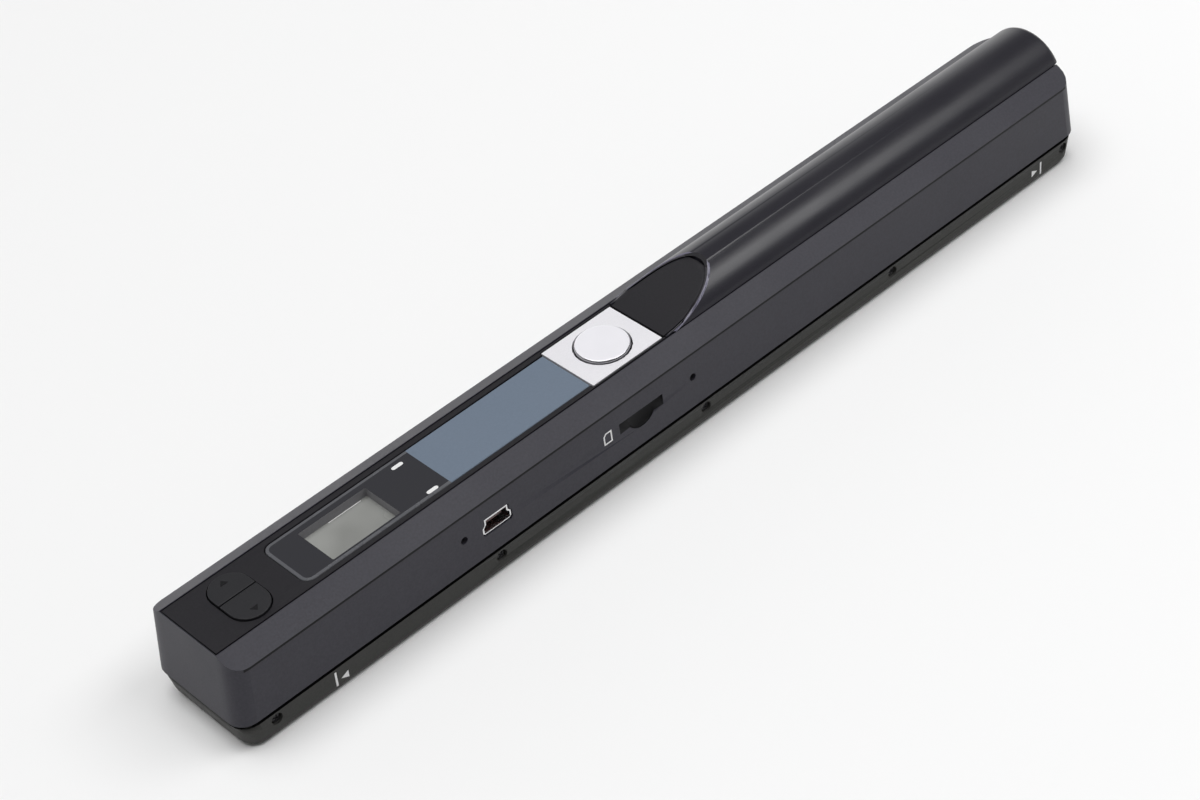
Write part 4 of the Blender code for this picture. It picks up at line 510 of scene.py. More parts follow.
class Finish:
    """A material under work: a Principled shader and a short way to add and join nodes."""

    SOCKETS = ("Base Color", "Roughness", "Metallic", "Specular IOR Level", "Coat Weight")

    def __init__(self, name, color, roughness, metallic=0.0, specular=0.5, coat=0.0):
        self.material = bpy.data.materials.new(name)
        self.material.use_nodes = True
        self.nodes = self.material.node_tree.nodes
        self.links = self.material.node_tree.links
        self.sockets = self.nodes["Principled BSDF"].inputs
        values = ((*color, 1), roughness, metallic, specular, coat)
        for socket, value in zip(self.SOCKETS, values):
            self.sockets[socket].default_value = value
        self.material.diffuse_color = (*color, 1)

    def node(self, kind, values):
        """A node of a kind, with values for its inputs."""
        made = self.nodes.new(kind)
        for socket, value in values.items():
            made.inputs[socket].default_value = value
        return made

    def pattern(self, kind, size, output, stretch=(1, 1, 1), **values):
        """A pattern about size millimetres across on the stretched Object coordinates."""
        source = self.node("ShaderNodeTexCoord", {})
        mapping = self.node("ShaderNodeMapping", {"Scale": stretch})
        made = self.node(kind, {"Scale": 1 / (size * MM), **values})
        self.links.new(source.outputs["Object"], mapping.inputs["Vector"])
        self.links.new(mapping.outputs["Vector"], made.inputs["Vector"])
        return made.outputs[output]

    def noise(self, size, detail=2.0, stretch=(1, 1, 1), roughness=0.5):
        """Noise whose grains are about size millimetres across."""
        values = {"Detail": detail, "Roughness": roughness}
        return self.pattern("ShaderNodeTexNoise", size, "Fac", stretch, **values)

    def span(self, value, low, high, start=0.3, end=0.7):
        """A value carried from one span, at first the one that noise mostly fills, to another."""
        values = {"From Min": start, "From Max": end, "To Min": low, "To Max": high}
        made = self.node("ShaderNodeMapRange", values)
        self.links.new(value, made.inputs["Value"])
        return made.outputs["Result"]

    def bump(self, height, depth, strength=1.0):
        """A bump whose full height is depth millimetres."""
        made = self.node("ShaderNodeBump", {"Strength": strength, "Distance": depth * MM})
        self.links.new(height, made.inputs["Height"])
        self.links.new(made.outputs["Normal"], self.sockets["Normal"])

    def tint(self, value, first, second):
        """A colour between two, by a value."""
        made = self.nodes.new("ShaderNodeMix")
        made.data_type = "RGBA"
        made.inputs["A"].default_value = (*first, 1)
        made.inputs["B"].default_value = (*second, 1)
        self.links.new(value, made.inputs["Factor"])
        self.links.new(made.outputs["Result"], self.sockets["Base Color"])

    def uneven(self, size, low, high, detail=2.0, stretch=(1, 1, 1)):
        """Roughness that drifts between two values with a noise of some size."""
        drift = self.span(self.noise(size, detail, stretch), low, high)
        self.links.new(drift, self.sockets["Roughness"])


def moulded(name, color, roughness, grain, depth, specular=0.5, drift=0.12):
    """Moulded plastic: fine grain as bump, a soft drift of roughness and a slight drift of tone."""
    made = Finish(name, color, roughness, specular=specular)
    made.bump(made.noise(grain, 3.0, roughness=0.6), depth)
    made.uneven(18.0, roughness - MOULDED_SPREAD / 2, roughness + MOULDED_SPREAD / 2)
    tone = made.span(made.noise(grain * 2.5), 0, 1)
    made.tint(tone, scaled(color, 1 - drift), scaled(color, 1 + drift))
    return made


def build_plastics(colors):
    """The moulded finishes by slot: name, colour, roughness, grain and depth of the bump in millimetres,
    and then specular level and drift of tone where they aren't the usual ones."""
    # The cover's rim is the cover's colour made eight times lighter, a painted highlight
    edge = scaled(colors.cover, 8)
    rows = (
        ("shell_black", "Housing black", colors.shell, 0.42, 0.2, 0.012, 0.27),
        # Painted shade: a near-black line along the upper shell's sides under the chamfers
        ("edge_dark", "Housing edge black", paint(15, 15, 17), 0.55, 0.2, 0.006, 0.15),
        ("shell_grey", "Lower housing black", colors.lower_shell, 0.5, 0.2, 0.014, 0.25),
        ("panel_black", "Panel black", colors.panel, 0.55, 0.14, 0.006, 0.22),
        ("cover_satin", "Cover satin black", colors.cover, 0.32, 0.12, 0.004, 0.55),
        ("cover_edge", "Cover edge", edge, 0.3, 0.12, 0.002, 0.6),
        ("key_black", "Key black", colors.keys, 0.45, 0.12, 0.004, 0.3),
        ("key_relief", "Key relief", colors.key_relief, 0.25, 0.12, 0.002, 0.4),
        # Painted shade inside the card slot and its finger scoop
        ("slot_dark", "Card slot black", paint(17, 17, 19), 0.5, 0.2, 0.003, 0.15),
        # Painted shadow: near-black in the seam groove, the card slit and the openings round the keys and
        # button
        ("seam_dark", "Seam shadow", (0.002, 0.002, 0.002), 0.7, 0.2, 0.002, 0.05),
        ("display_frame", "Display frame", colors.display_frame, 0.4, 0.3, 0.004, 0.5, 0.05),
        ("socket_plastic", "Socket plastic", (0.05, 0.012, 0.01), 0.4, 0.2, 0.004),
        ("frame_plastic", "Frame plastic", (0.03, 0.03, 0.031), 0.5, 0.2, 0.008),
        ("switch_black", "Switch plastic", (0.02, 0.02, 0.021), 0.42, 0.15, 0.004),
        ("gear_white", "Gear plastic", (0.62, 0.61, 0.56), 0.34, 0.3, 0.003, 0.5, 0.04),
        ("ribbon_white", "Ribbon", (0.62, 0.62, 0.6), 0.4, 0.3, 0.003, 0.5, 0.04),
    )
    return {slot: moulded(*values) for slot, *values in rows}


def build_plain(colors):
    """The plain finishes by slot: name, colour, (roughness, metallic, specular level), values of uneven,
    and the drift of tone as size, detail and two shares of the colour."""
    rows = (
        ("lens_rim", "Lens rim", colors.lens_rim, (0.25, 0.0, 0.6), (3.0, 0.2, 0.32), None),
        ("label_blue", "Band blue grey", colors.band, (0.2, 0.0, 0.45),
         (20.0, 0.16, 0.26, 3.0), (0.5, 2.0, 0.95, 1.05)),
        ("button_silver", "Button satin silver", colors.button, (0.3, 0.12),
         (5.0, 0.3, 0.36, 1.0), (3.0, 1.0, 0.98, 1)),
        # The button's shoulder: polished metal, its colour darkened as painted shade for a dark crescent at
        # the edge
        ("button_shaded_edge", "Button polished edge in painted shade", scaled(colors.button, 0.45), (0.14, 1.0),
         (1.0, 0.1, 0.2), None),
        ("light_diffuser", "Milky diffuser", colors.marks, (0.3,), (2.0, 0.25, 0.36), (0.8, 2.0, 0.93, 1)),
        ("mark_white", "Printed white", colors.marks, (0.5,), (0.4, 0.42, 0.6), (0.3, 2.0, 0.9, 1)),
        ("clear_glass", "Sensor glass", (0.012, 0.018, 0.02), (0.05, 0.0, 0.6), (25.0, 0.03, 0.08), None),
    )
    made = {}
    for slot, name, color, values, drift, tone in rows:
        made[slot] = finish = Finish(name, color, *values)
        finish.uneven(*drift)
        if tone:
            finish.tint(finish.noise(*tone[:2]), scaled(color, tone[2]), scaled(color, tone[3]))
    return made


def build_materials(colors):
    """Every finish of the wand, by slot."""
    made = {**build_plastics(colors), **build_plain(colors)}

    made["lens"] = lens = Finish("Lens gloss black", colors.lens, 0.1)
    lens.uneven(25.0, 0.1, 0.18, 3.0)
    lens.bump(lens.noise(9.0, 1.0), 0.01, 0.3)

    made["display_glass"] = display = Finish("Display face", colors.display, 0.22)
    display.uneven(6.0, 0.18, 0.28)
    glow = display.span(display.noise(11.0, 1.0), 0, 1, 0.35, 0.65)
    display.tint(glow, scaled(colors.display, 0.86), scaled(colors.display, 1.1))

    made["silver_paint"] = silver = Finish("Silver paint", colors.plate, 0.4, 0.1)
    grit = silver.noise(0.22, 3.0)
    silver.tint(silver.span(grit, 0, 1, 0.35, 0.65), scaled(colors.plate, 0.95), colors.plate)
    silver.bump(grit, 0.004)
    silver.uneven(12.0, 0.34, 0.46)

    made["bright_steel"] = steel = Finish("Bright steel", (0.72, 0.72, 0.73), 0.22, 1.0)
    steel.uneven(0.6, 0.16, 0.32, 3.0, (1, 6, 6))
    steel.bump(steel.noise(0.25, 2.0, (1, 8, 8)), 0.0015)

    made["dark_steel"] = dark = Finish("Blackened steel", (0.035, 0.035, 0.037), 0.3, 0.7)
    dark.uneven(0.4, 0.24, 0.4, 3.0)
    dark.bump(dark.noise(0.12), 0.002)

    made["roller_rubber"] = rubber = Finish("Roller rubber", (0.022, 0.022, 0.022), 0.68, specular=0.3)
    rubber.bump(rubber.noise(0.25, 3.0), 0.03)
    rubber.tint(rubber.noise(1.2), (0.014, 0.014, 0.014), (0.034, 0.033, 0.032))

    made["board_green"] = board = Finish("Board green", (0.014, 0.09, 0.035), 0.3)
    pads = board.pattern("ShaderNodeTexVoronoi", 1.6, "Distance")
    board.tint(board.span(pads, 0, 1, 0.2, 0.6), (0.01, 0.075, 0.028), (0.02, 0.12, 0.05))
    board.bump(pads, 0.02)

    made["cell_wrap"] = wrap = Finish("Cell wrap", colors.cell, 0.2, coat=0.3)
    wrap.bump(wrap.noise(5.0), 0.03, 0.5)
    wrap.uneven(4.0, 0.16, 0.28)
    made["cell_band"] = sleeve = Finish("Cell band", colors.cell_band, 0.24, 0.6)
    sleeve.bump(sleeve.noise(5.0), 0.03, 0.5)
    sleeve.uneven(4.0, 0.2, 0.32)
    return {slot: finish.material for slot, finish in made.items()}


# Settings a user would change


def colour(name, thing, value):
    """A setting for the colour of a thing."""
    text = f"Colour of the {thing}"
    return bpy.props.FloatVectorProperty(
        name=name, description=text, subtype="COLOR", size=3, min=0, max=1, default=paint(*value)
    )


def length(name, description, value):
    """A setting for a length, from its value in millimetres."""
    return bpy.props.FloatProperty(
        name=name, description=description, default=value * MM, min=0, unit="LENGTH", precision=5
    )


class WandColours(bpy.types.PropertyGroup):
    """Colours of the wand's visible finishes."""

    shell: colour("Shell", "upper shell", (48, 47, 55))
    lower_shell: colour("Lower shell", "lower shell", (52, 52, 50))
    panel: colour("Panel", "control panel and the thumb ramp", (30, 29, 33))
    cover: colour("Battery cover", "round battery cover", (33, 32, 39))
    keys: colour("Keys", "two keys", (33, 33, 36))
    key_relief: colour("Key relief", "arrows moulded on the keys", (24, 24, 26))
    lens: colour("Lens", "black print under the lens", (52, 52, 56))
    lens_rim: colour("Lens rim", "lens's clear edge", (88, 89, 93))
    band: colour("Band", "plain band under the lens", (108, 120, 135))
    display: colour("Display", "display's face", (142, 143, 140))
    display_frame: colour("Display frame", "frame round the display", (126, 125, 129))
    plate: colour("Plate", "silver plate", (232, 231, 235))
    button: colour("Button", "scan button", (240, 239, 244))
    marks: colour("Marks", "printed marks and light slots", (232, 232, 232))
    cell: colour("Cell wrap", "cells' plain wrap", (34, 62, 50))
    cell_band: colour("Cell band", "band at each cell's positive end", (168, 166, 158))
    floor: colour("Floor", "studio floor", (240, 240, 240))


class WandSizes(bpy.types.PropertyGroup):
    """Small sizes of the wand's details."""

    shell_edge: length("Shell edge", "Radius of the lower shell's moulded edges", 0.15)
    panel_edge: length("Panel edge", "Radius of the panel's edges", 0.12)
    key_edge: length("Key edge", "Radius of the keys' edges", 0.35)
    mark_height: length("Mark height", "Thickness of the printed marks", 0.02)
    lens_rim: length("Lens rim", "Width of the lens's clear edge", 0.75)
    screw_slot: length("Screw slot", "Half width of the cross in a screw's head", 0.16)


# Operators


class WAND_OT_materials(bpy.types.Operator):
    """Makes the wand's materials and gives them to the CAD nodes"""

    bl_idname = "wand.materials"
    bl_label = "Materials"

    def execute(self, context):
        MATERIALS.update(build_materials(context.scene.wand_colours))
        for node, item in NODES.items():
            slot = NODE_SLOTS[node]
            dressed(item, MATERIALS[SHARED_FINISHES.get(slot, slot)])
            smoothed(item, CAD_SMOOTH_ANGLE)
        return {"FINISHED"}


class WAND_OT_shells(bpy.types.Operator):
    """Makes the crisp upper shell with painted shade under its chamfers and in its card slot, and the lower
    shell with soft moulded edges and painted shadow in its seam groove
    """

    bl_idname = "wand.shells"
    bl_label = "Shells"

    def execute(self, context):
        # Painted shade in the card slot and its scoop, and painted shadow on the walls of its slit
        paints = [("slot_dark", in_card_slot), ("seam_dark", in_card_slit)]
        upper = softened("upper_housing", "upper_shell", "shell_black", 0, paints=paints)
        # Painted shade: a near-black strip right under each chamfer, for the dark line at that edge
        paint_faces(upper, "edge_dark", on_edge_line)
        # Flat, so that slivers at the chamfers' ends don't tilt their light
        set_faces(upper, "use_smooth", bool, False, on_chamfer)
        edge = context.scene.wand_sizes.shell_edge / MM
        # Painted shadow in the groove under the seam
        groove = [("seam_dark", in_groove)]
        softened("lower_housing", "lower_shell", "shell_grey", edge, paints=groove, where=on_lower_rim)
        return {"FINISHED"}


def in_groove(centres, normals):
    """The faces of the shadow groove under the seam: above its floor and out near the shell's sides. They
    are painted near-black as shadow.
    """
    outside = (np.abs(centres[1]) > GROOVE_SIDE_Y) | (np.abs(centres[0]) > GROOVE_END_X)
    return (centres[2] > GROOVE_FLOOR_Z) & outside


def on_chamfer(centres, normals):
    """The upper shell's two long chamfers."""
    leaning = (np.abs(normals[1]) > CHAMFER_NORMAL[0]) & (normals[2] > CHAMFER_NORMAL[1])
    return (np.abs(centres[1]) > CHAMFER_Y) & leaning


def on_edge_line(centres, normals):
    """The narrow strips of the upper shell's sides right under its chamfers, which are painted near-black
    as a shade line.
    """
    on_side = (np.abs(normals[1]) > SIDE_NORMAL) & (np.abs(centres[1]) > EDGE_LINE_Y)
    return on_side & (centres[2] > EDGE_LINE_Z)


def on_lower_rim(x, y, z):
    """The long edges of the lower shell's sides, clear of the screw recesses."""
    return abs(y) > LOWER_RIM_Y and abs(x) < LOWER_RIM_X and not between(z, SCREW_RECESS_Z)


def on_cover_rim(x, y, z):
    """The edge of the cover's round outside along the thumb ramp, whose rounding takes a painted highlight.
    """
    outside = math.hypot(y, z - BARREL_Z) > COVER_RIM_RADIUS
    return outside and x < COVER_RIM_END_X and z > COVER_RIM_Z


def on_panel_rim(x, y, z):
    """The panel's upper edges, round its outline, its pockets and its ramp."""
    return z > PANEL_RIM_Z


def in_card_slit(centres, normals):
    """The card slit's walls, deeper than the finger scoop. They are painted near-black as shadow."""
    x, y, z = centres
    return between(x, CARD_X) & between(z, CARD_SLIT_Z) & between(y, CARD_SLIT_Y)


def in_card_slot(centres, normals):
    """The faces of the card slot and its finger scoop: sunk into the near side between the slot's ends.
    They take painted shade.
    """
    x, y, z = centres
    depth = UPPER_HALF - UPPER_DRAFT * (z - SEAM_Z) + y
    sunk = (depth > CARD_SUNK) & (y < CARD_SLIT_Y[1])
    return between(x, CARD_X) & between(z, CARD_SCOOP_Z) & sunk


class WAND_OT_cover(bpy.types.Operator):
    """Makes the round battery cover, satin outside and matte where the thumb ramp runs on into it, with a
    painted highlight along the ramp's rim
    """

    bl_idname = "wand.cover"
    bl_label = "Battery cover"

    def execute(self, context):
        crest = [("panel_black", on_crest)]
        names = ("battery_cover", "round_cover", "cover_satin")
        cover = softened(*names, COVER_EDGE, paints=crest, where=on_cover_rim)
        # The rounding along the ramp's rim takes the painted highlight
        cover.data.materials.append(MATERIALS["cover_edge"])
        cover.modifiers[0].material = len(cover.data.materials) - 1
        return {"FINISHED"}


def on_crest(centres, normals):
    """The faces of the cover that carry the ramp on beyond the panel's own part of it."""
    leaning = (normals[0] < CREST_NORMAL[0]) & (normals[2] > CREST_NORMAL[1])
    return between(centres[0], CREST_X) & leaning


class WAND_OT_panel(bpy.types.Operator):
    """Makes the control panel with its thumb ramp, and the two keys with their arrows"""

    bl_idname = "wand.panel"
    bl_label = "Panel and keys"

    def execute(self, context):
        sizes = context.scene.wand_sizes
        edge = sizes.panel_edge / MM
        # Painted shadow on the walls of the openings round the keys and the button
        walls = [("seam_dark", in_panel_opening)]
        softened("top_panel", "control_panel", "panel_black", edge, 2, walls, on_panel_rim)
        for node, tip_y, foot_y in ARROWS:
            softened(node, f"{node}_cap", "key_black", sizes.key_edge / MM)
            outline = [(KEYS_X, tip_y), (KEYS_X - ARROW_HALF, foot_y), (KEYS_X + ARROW_HALF, foot_y)]
            arrow = mesh_object(f"{node}_arrow", *slab(outline, flat_place, *ARROW_LEVELS))
            finished(arrow, None, node, "key_black", "key_relief")
        return {"FINISHED"}


def in_panel_opening(centres, normals):
    """The upright walls of the panel's openings for the keys and the button. They are painted near-black as
    shadow.
    """
    keys = np.hypot(centres[0] - KEYS_X, centres[1]) < KEYS_REACH
    button = np.hypot(centres[0] - BUTTON_X, centres[1]) < BUTTON_HOLE_REACH
    return (np.abs(normals[2]) < OPENING_NORMAL) & (keys | button)


class WAND_OT_lens(bpy.types.Operator):
    """Makes the gloss lens with its rim and bare band, the display behind it and the two light slots"""

    bl_idname = "wand.lens"
    bl_label = "Lens and display"

    def execute(self, context):
        make_lens(context.scene.wand_sizes.lens_rim / MM)
        make_display()
        top = LENS_LEVELS[1]
        lights = []
        for y in LIGHT_PLACES:
            outline = stadium((LIGHT_X, y), *LIGHT_SIZE)
            lights.append(slab(outline, flat_place, top, top + LIGHT_HEIGHT))
        item = mesh_object("light_slots", *merged(lights))
        finished(item, None, "body", "light_diffuser")
        return {"FINISHED"}


def flat_place(outline, level):
    """A flat outline (x, y) at a level."""
    return np.column_stack([outline, np.full(len(outline), level)])


def tablet(centre, size, corner, low, high, edge):
    """A flat tablet with soft rims: its outline at four levels, drawn in by the edge at the outer two."""
    loops = []
    for inset, level in ((edge, low), (0, low + edge), (0, high - edge), (edge, high)):
        drawn_in = (size[0] - 2 * inset, size[1] - 2 * inset)
        loops.append(flat_place(cornered(centre, drawn_in, (corner - inset,) * 4), level))
    return np.concatenate(loops), capped_faces(len(loops), len(loops[0]))


def make_lens(rim):
    """The lens: loops from its foot up its side, in over its rim and down through the display's window; the
    last loop joins the first. A cut at the band's edge lets the band have its own finish."""
    size = (LENS_FAR_X - LENS_NEAR_X, 2 * LENS_HALF)
    centre = ((LENS_FAR_X + LENS_NEAR_X) / 2, 0)
    low, high = LENS_LEVELS
    loops = []
    for inset, level in ((0, low), (0, high - LENS_SHOULDER), (LENS_SHOULDER, high), (rim, high)):
        corner = LENS_CORNER - inset
        corners = (LENS_SQUARE_CORNER, corner, corner, LENS_SQUARE_CORNER)
        drawn_in = (size[0] - 2 * inset, size[1] - 2 * inset)
        loops.append(flat_place(cornered(centre, drawn_in, corners), level))
    window = cornered(WINDOW_CENTRE, WINDOW_SIZE, (WINDOW_CORNER,) * 4)
    loops += [flat_place(window, high), flat_place(window, low)]
    faces = grid_faces(len(loops), len(window), looped=True)
    item = mesh_object("lens_window", np.concatenate(loops), faces)
    work = bmesh.new()
    work.from_mesh(item.data)
    everything = work.verts[:] + work.edges[:] + work.faces[:]
    bmesh.ops.bisect_plane(work, geom=everything, plane_co=(BAND_X * MM, 0, 0), plane_no=(1, 0, 0))
    work.to_mesh(item.data)
    work.free()
    finished(item, ["lens_plate", "print_film", "label_strip"], "body", "print_black", "lens")
    paint_faces(item, "lens_rim", lambda c, n: on_rim(c, rim))
    paint_faces(item, "label_blue", lambda c, n: c[0] > BAND_X)
    paint_faces(item, "display_frame", in_window)


def in_window(centres, normals):
    """The upright walls of the display's window."""
    x, y, z = centres
    upright = np.abs(normals[2]) < WINDOW_NORMAL
    return between(x, WINDOW_ZONE_X) & (np.abs(y) < WINDOW_ZONE_HALF) & upright


def on_rim(centres, rim):
    """The faces that lie within the rim's width of the lens's outline, less a hair."""
    width = rim * RIM_SHARE
    side = np.abs(centres[1]) > LENS_HALF - width
    end = centres[0] < LENS_NEAR_X + width
    corner_x = LENS_NEAR_X + LENS_CORNER - centres[0]
    corner_y = np.abs(centres[1]) - LENS_HALF + LENS_CORNER
    reach = np.hypot(np.maximum(corner_x, 0), np.maximum(corner_y, 0))
    return side | end | (reach > LENS_CORNER - width)


def make_display():
    """The display's face with a thin white line along its far edge as a painted highlight, and the pale
    frame round it.
    """
    low, high = in_mm(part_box("display_glass"))
    face = tablet((low + high) / 2, high - low, DISPLAY_CORNER, low[2], high[2], DISPLAY_EDGE)
    item = mesh_object("display_face", *face)
    finished(item, "display_glass", "body", "display_glass")
    grown = (WINDOW_SIZE[0] + FRAME_GROWTH, WINDOW_SIZE[1] + FRAME_GROWTH)
    outlines = [cornered(WINDOW_CENTRE, size, (WINDOW_CORNER,) * 4) for size in (grown, WINDOW_SIZE)]
    item = mesh_object("display_frame", *ring(*outlines, flat_place, *FRAME_LEVELS))
    finished(item, None, "body", "frame_plastic", "display_frame")
    # A thin strip in the printed white, as a painted highlight along the display's far edge
    line = cornered(LINE_CENTRE, LINE_SIZE, (LINE_CORNER,) * 4)
    levels = (DISPLAY_TOP_Z, DISPLAY_TOP_Z + LINE_HEIGHT)
    item = mesh_object("display_painted_highlight", *slab(line, flat_place, *levels))
    finished(item, None, "body", "light_diffuser", "mark_white")


class WAND_OT_button(bpy.types.Operator):
    """Makes the silver plate and the domed scan button"""

    bl_idname = "wand.button"
    bl_label = "Plate and button"

    def execute(self, context):
        softened("silver_plate", "silver_trim", "silver_paint", PLATE_EDGE, 2)
        make_button()
        return {"FINISHED"}


def make_button():
    """The button, turned round an upright axis: its face is a crown that falls with a quarter of a cosine,
    its shoulder a quarter circle, and below them come its side and its foot."""
    reach = np.linspace(0, FACE_RADIUS, FACE_RINGS)
    crown = BUTTON_CROWN * np.cos(reach / FACE_RADIUS * TURN / 4)
    turn = np.linspace(0, TURN / 4, SHOULDER_RINGS)
    shoulder_radius = SHOULDER_RADIUS + SHOULDER * np.sin(turn)
    shoulder = BUTTON_TOP_Z - SHOULDER + SHOULDER * np.cos(turn)
    profile = np.concatenate([
        np.column_stack([reach, BUTTON_TOP_Z + crown]),
        np.column_stack([shoulder_radius, shoulder]),
        BUTTON_FOOT,
    ])
    z, x, y = turned(profile, BUTTON_STEPS)
    points = stacked(BUTTON_X + x, y, z)
    item = mesh_object("scan_button_cap", points, grid_faces(len(profile), BUTTON_STEPS))
    finished(item, "scan_button", "scan_button", "button_silver")
    # The shoulder takes polished metal darkened as painted shade
    paint_faces(item, "button_shaded_edge", lambda c, n: n[2] < BUTTON_EDGE_NORMAL)


class WAND_OT_marks(bpy.types.Operator):
    """Prints the near side's white marks: the scan width's bars and arrows, and a plain card outline"""

    bl_idname = "wand.marks"
    bl_label = "Printed marks"

    def execute(self, context):
        height = context.scene.wand_sizes.mark_height / MM
        outlines = [cornered(centre, size, (BAR_CORNER,) * 4) for centre, size in BARS] + list(BAR_ARROWS)
        parts = [slab(outline, lower_side, -MARK_SUNK, height) for outline in outlines]
        parts.append(ring(CARD_MARK, CARD_MARK_HOLE, upper_side, -MARK_SUNK, height))
        item = mesh_object("side_marks", *merged(parts))
        finished(item, None, "body", "light_diffuser", "mark_white")
        return {"FINISHED"}


def upper_side(outline, height):
    """An outline (x, z) lifted off the upper shell's near side, which leans in as it rises."""
    out = UPPER_HALF - UPPER_DRAFT * (outline[:, 1] - SEAM_Z) + height
    return np.column_stack([outline[:, 0], -out, outline[:, 1]])


def lower_side(outline, height):
    """An outline (x, z) lifted off the lower shell's near side, which leans in as it falls."""
    out = LOWER_HALF - LOWER_DRAFT * (SEAM_Z - outline[:, 1]) + height
    return np.column_stack([outline[:, 0], -out, outline[:, 1]])


class WAND_OT_screws(bpy.types.Operator):
    """Makes the ten blackened screws with crosses in their domed heads"""

    bl_idname = "wand.screws"
    bl_label = "Screws"

    def execute(self, context):
        slot = context.scene.wand_sizes.screw_slot / MM
        for side, sign in (("near", -1), ("far", 1)):
            for number in range(1, SCREWS_A_SIDE + 1):
                node = f"{side}_screw_{number}"
                low, high = in_mm(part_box(node))
                middle = (low[0] + high[0]) / 2
                item = mesh_object(f"{node}_head", *screw_shape(middle, sign, slot, SCREW_TURN * number))
                finished(item, node, "body", "dark_steel")
        return {"FINISHED"}


def screw_shape(middle, sign, slot, turn):
    """A screw turned round its axis. The head is a low dome: its height falls with the square of the
    radius, less a cross whose depth rises smoothly where either turned axis is nearer than the slot's half
    width. Below it come the head's side, its underside and the shank."""
    reach = np.linspace(0, DOME_RADIUS, DOME_RINGS)
    dome = SCREW_TOP - DOME_FALL * (reach / DOME_RADIUS) ** 2
    profile = np.concatenate([np.column_stack([reach, dome]), SCREW_FOOT])
    level, x, z = turned(profile, SCREW_STEPS)
    radius = reach[:, None]
    angle = even_angles(SCREW_STEPS) + turn
    near = np.minimum(np.abs(radius * np.cos(angle)), np.abs(radius * np.sin(angle)))
    across = np.clip((slot - near) / CROSS_BLEND + 0.5, 0, 1)
    along = np.clip((CROSS_REACH - radius) / CROSS_END_BLEND + 0.5, 0, 1)
    sunk = np.zeros_like(level)
    sunk[:len(reach)] = CROSS_DEPTH * across * along
    points = stacked(x + middle, (level - sunk) * sign, z + SCREW_Z)
    return points, grid_faces(len(profile), SCREW_STEPS)


class WAND_OT_sockets(bpy.types.Operator):
    """Makes the USB socket's bright shell and its tongue"""

    bl_idname = "wand.sockets"
    bl_label = "Sockets"

    def execute(self, context):
        softened("usb_shell", "socket_shell", "bright_steel", 0)
        softened("usb_tongue", "socket_tongue", "socket_plastic", TONGUE_EDGE, 2)
        return {"FINISHED"}


class WAND_OT_power(bpy.types.Operator):
    """Makes the two cells, the wound spring and the tray that the cover hides"""

    bl_idname = "wand.power"
    bl_label = "Cells and spring"

    def execute(self, context):
        for node in ("battery_1", "battery_2"):
            make_cell(node)
        make_spring()
        softened("battery_tray", "cell_tray", "frame_plastic", TRAY_EDGE)
        return {"FINISHED"}


def make_cell(node):
    """A cell: a profile of (radius, place) turned round the wand's axis, with crimped and rounded ends."""
    low, high = in_mm(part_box(node))
    start, end = low[0], high[0]
    profile = [(radius, start + after) for radius, after in CELL_FOOT]
    profile += [(radius, end - before) for radius, before in CELL_HEAD]
    x, y, z = turned(profile, CELL_STEPS)
    item = mesh_object(f"{node}_cell", stacked(x, y, CELL_Z + z), grid_faces(len(profile), CELL_STEPS))
    finished(item, node, "body", "cell_wrap")
    band = (end - CELL_BAND[0], end - CELL_BAND[1])
    paint_faces(item, "cell_band", lambda c, n: between(c[0], band))
    paint_faces(item, "bright_steel", lambda c, n: np.hypot(c[1], c[2] - CELL_Z) < CELL_STEEL_RADIUS)


def make_spring():
    """The spring: a round wire swept along a helix whose radius narrows towards the cell, each ring of the
    wire standing square to the path; both ends are closed."""
    low, high = in_mm(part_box("battery_spring"))
    start, end = low[0] + WIRE_RADIUS, high[0] - WIRE_RADIUS
    share = np.linspace(0, 1, SPRING_TURNS * SPRING_TURN_STEPS + 1)
    turn = TURN * SPRING_TURNS * share
    radius = SPRING_RADII[0] - (SPRING_RADII[0] - SPRING_RADII[1]) * share
    climb = np.clip((share - SPRING_END_SHARE) / (1 - 2 * SPRING_END_SHARE), 0, 1)
    path = stacked(start + (end - start) * climb, radius * np.cos(turn), CELL_Z + radius * np.sin(turn))
    along = np.gradient(path, axis=0)
    along /= np.linalg.norm(along, axis=1)[:, None]
    out = stacked(np.zeros_like(turn), np.cos(turn), np.sin(turn))
    out -= (out * along).sum(1)[:, None] * along
    out /= np.linalg.norm(out, axis=1)[:, None]
    over = np.cross(along, out)
    angle = even_angles(WIRE_SIDES)[None, :, None]
    rings = path[:, None] + WIRE_RADIUS * (np.cos(angle) * out[:, None] + np.sin(angle) * over[:, None])
    item = mesh_object("cell_spring", rings.reshape(-1, 3), capped_faces(len(path), WIRE_SIDES))
    finished(item, "battery_spring", "body", "bright_steel", smooth=SPRING_SMOOTH)


class WAND_OT_rollers(bpy.types.Operator):
    """Makes the four grooved rubber rollers"""

    bl_idname = "wand.rollers"
    bl_label = "Rollers"

    def execute(self, context):
        for node in ("drive_roller_1", "drive_roller_2", "idler_roller_1", "idler_roller_2"):
            make_roller(node)
        return {"FINISHED"}


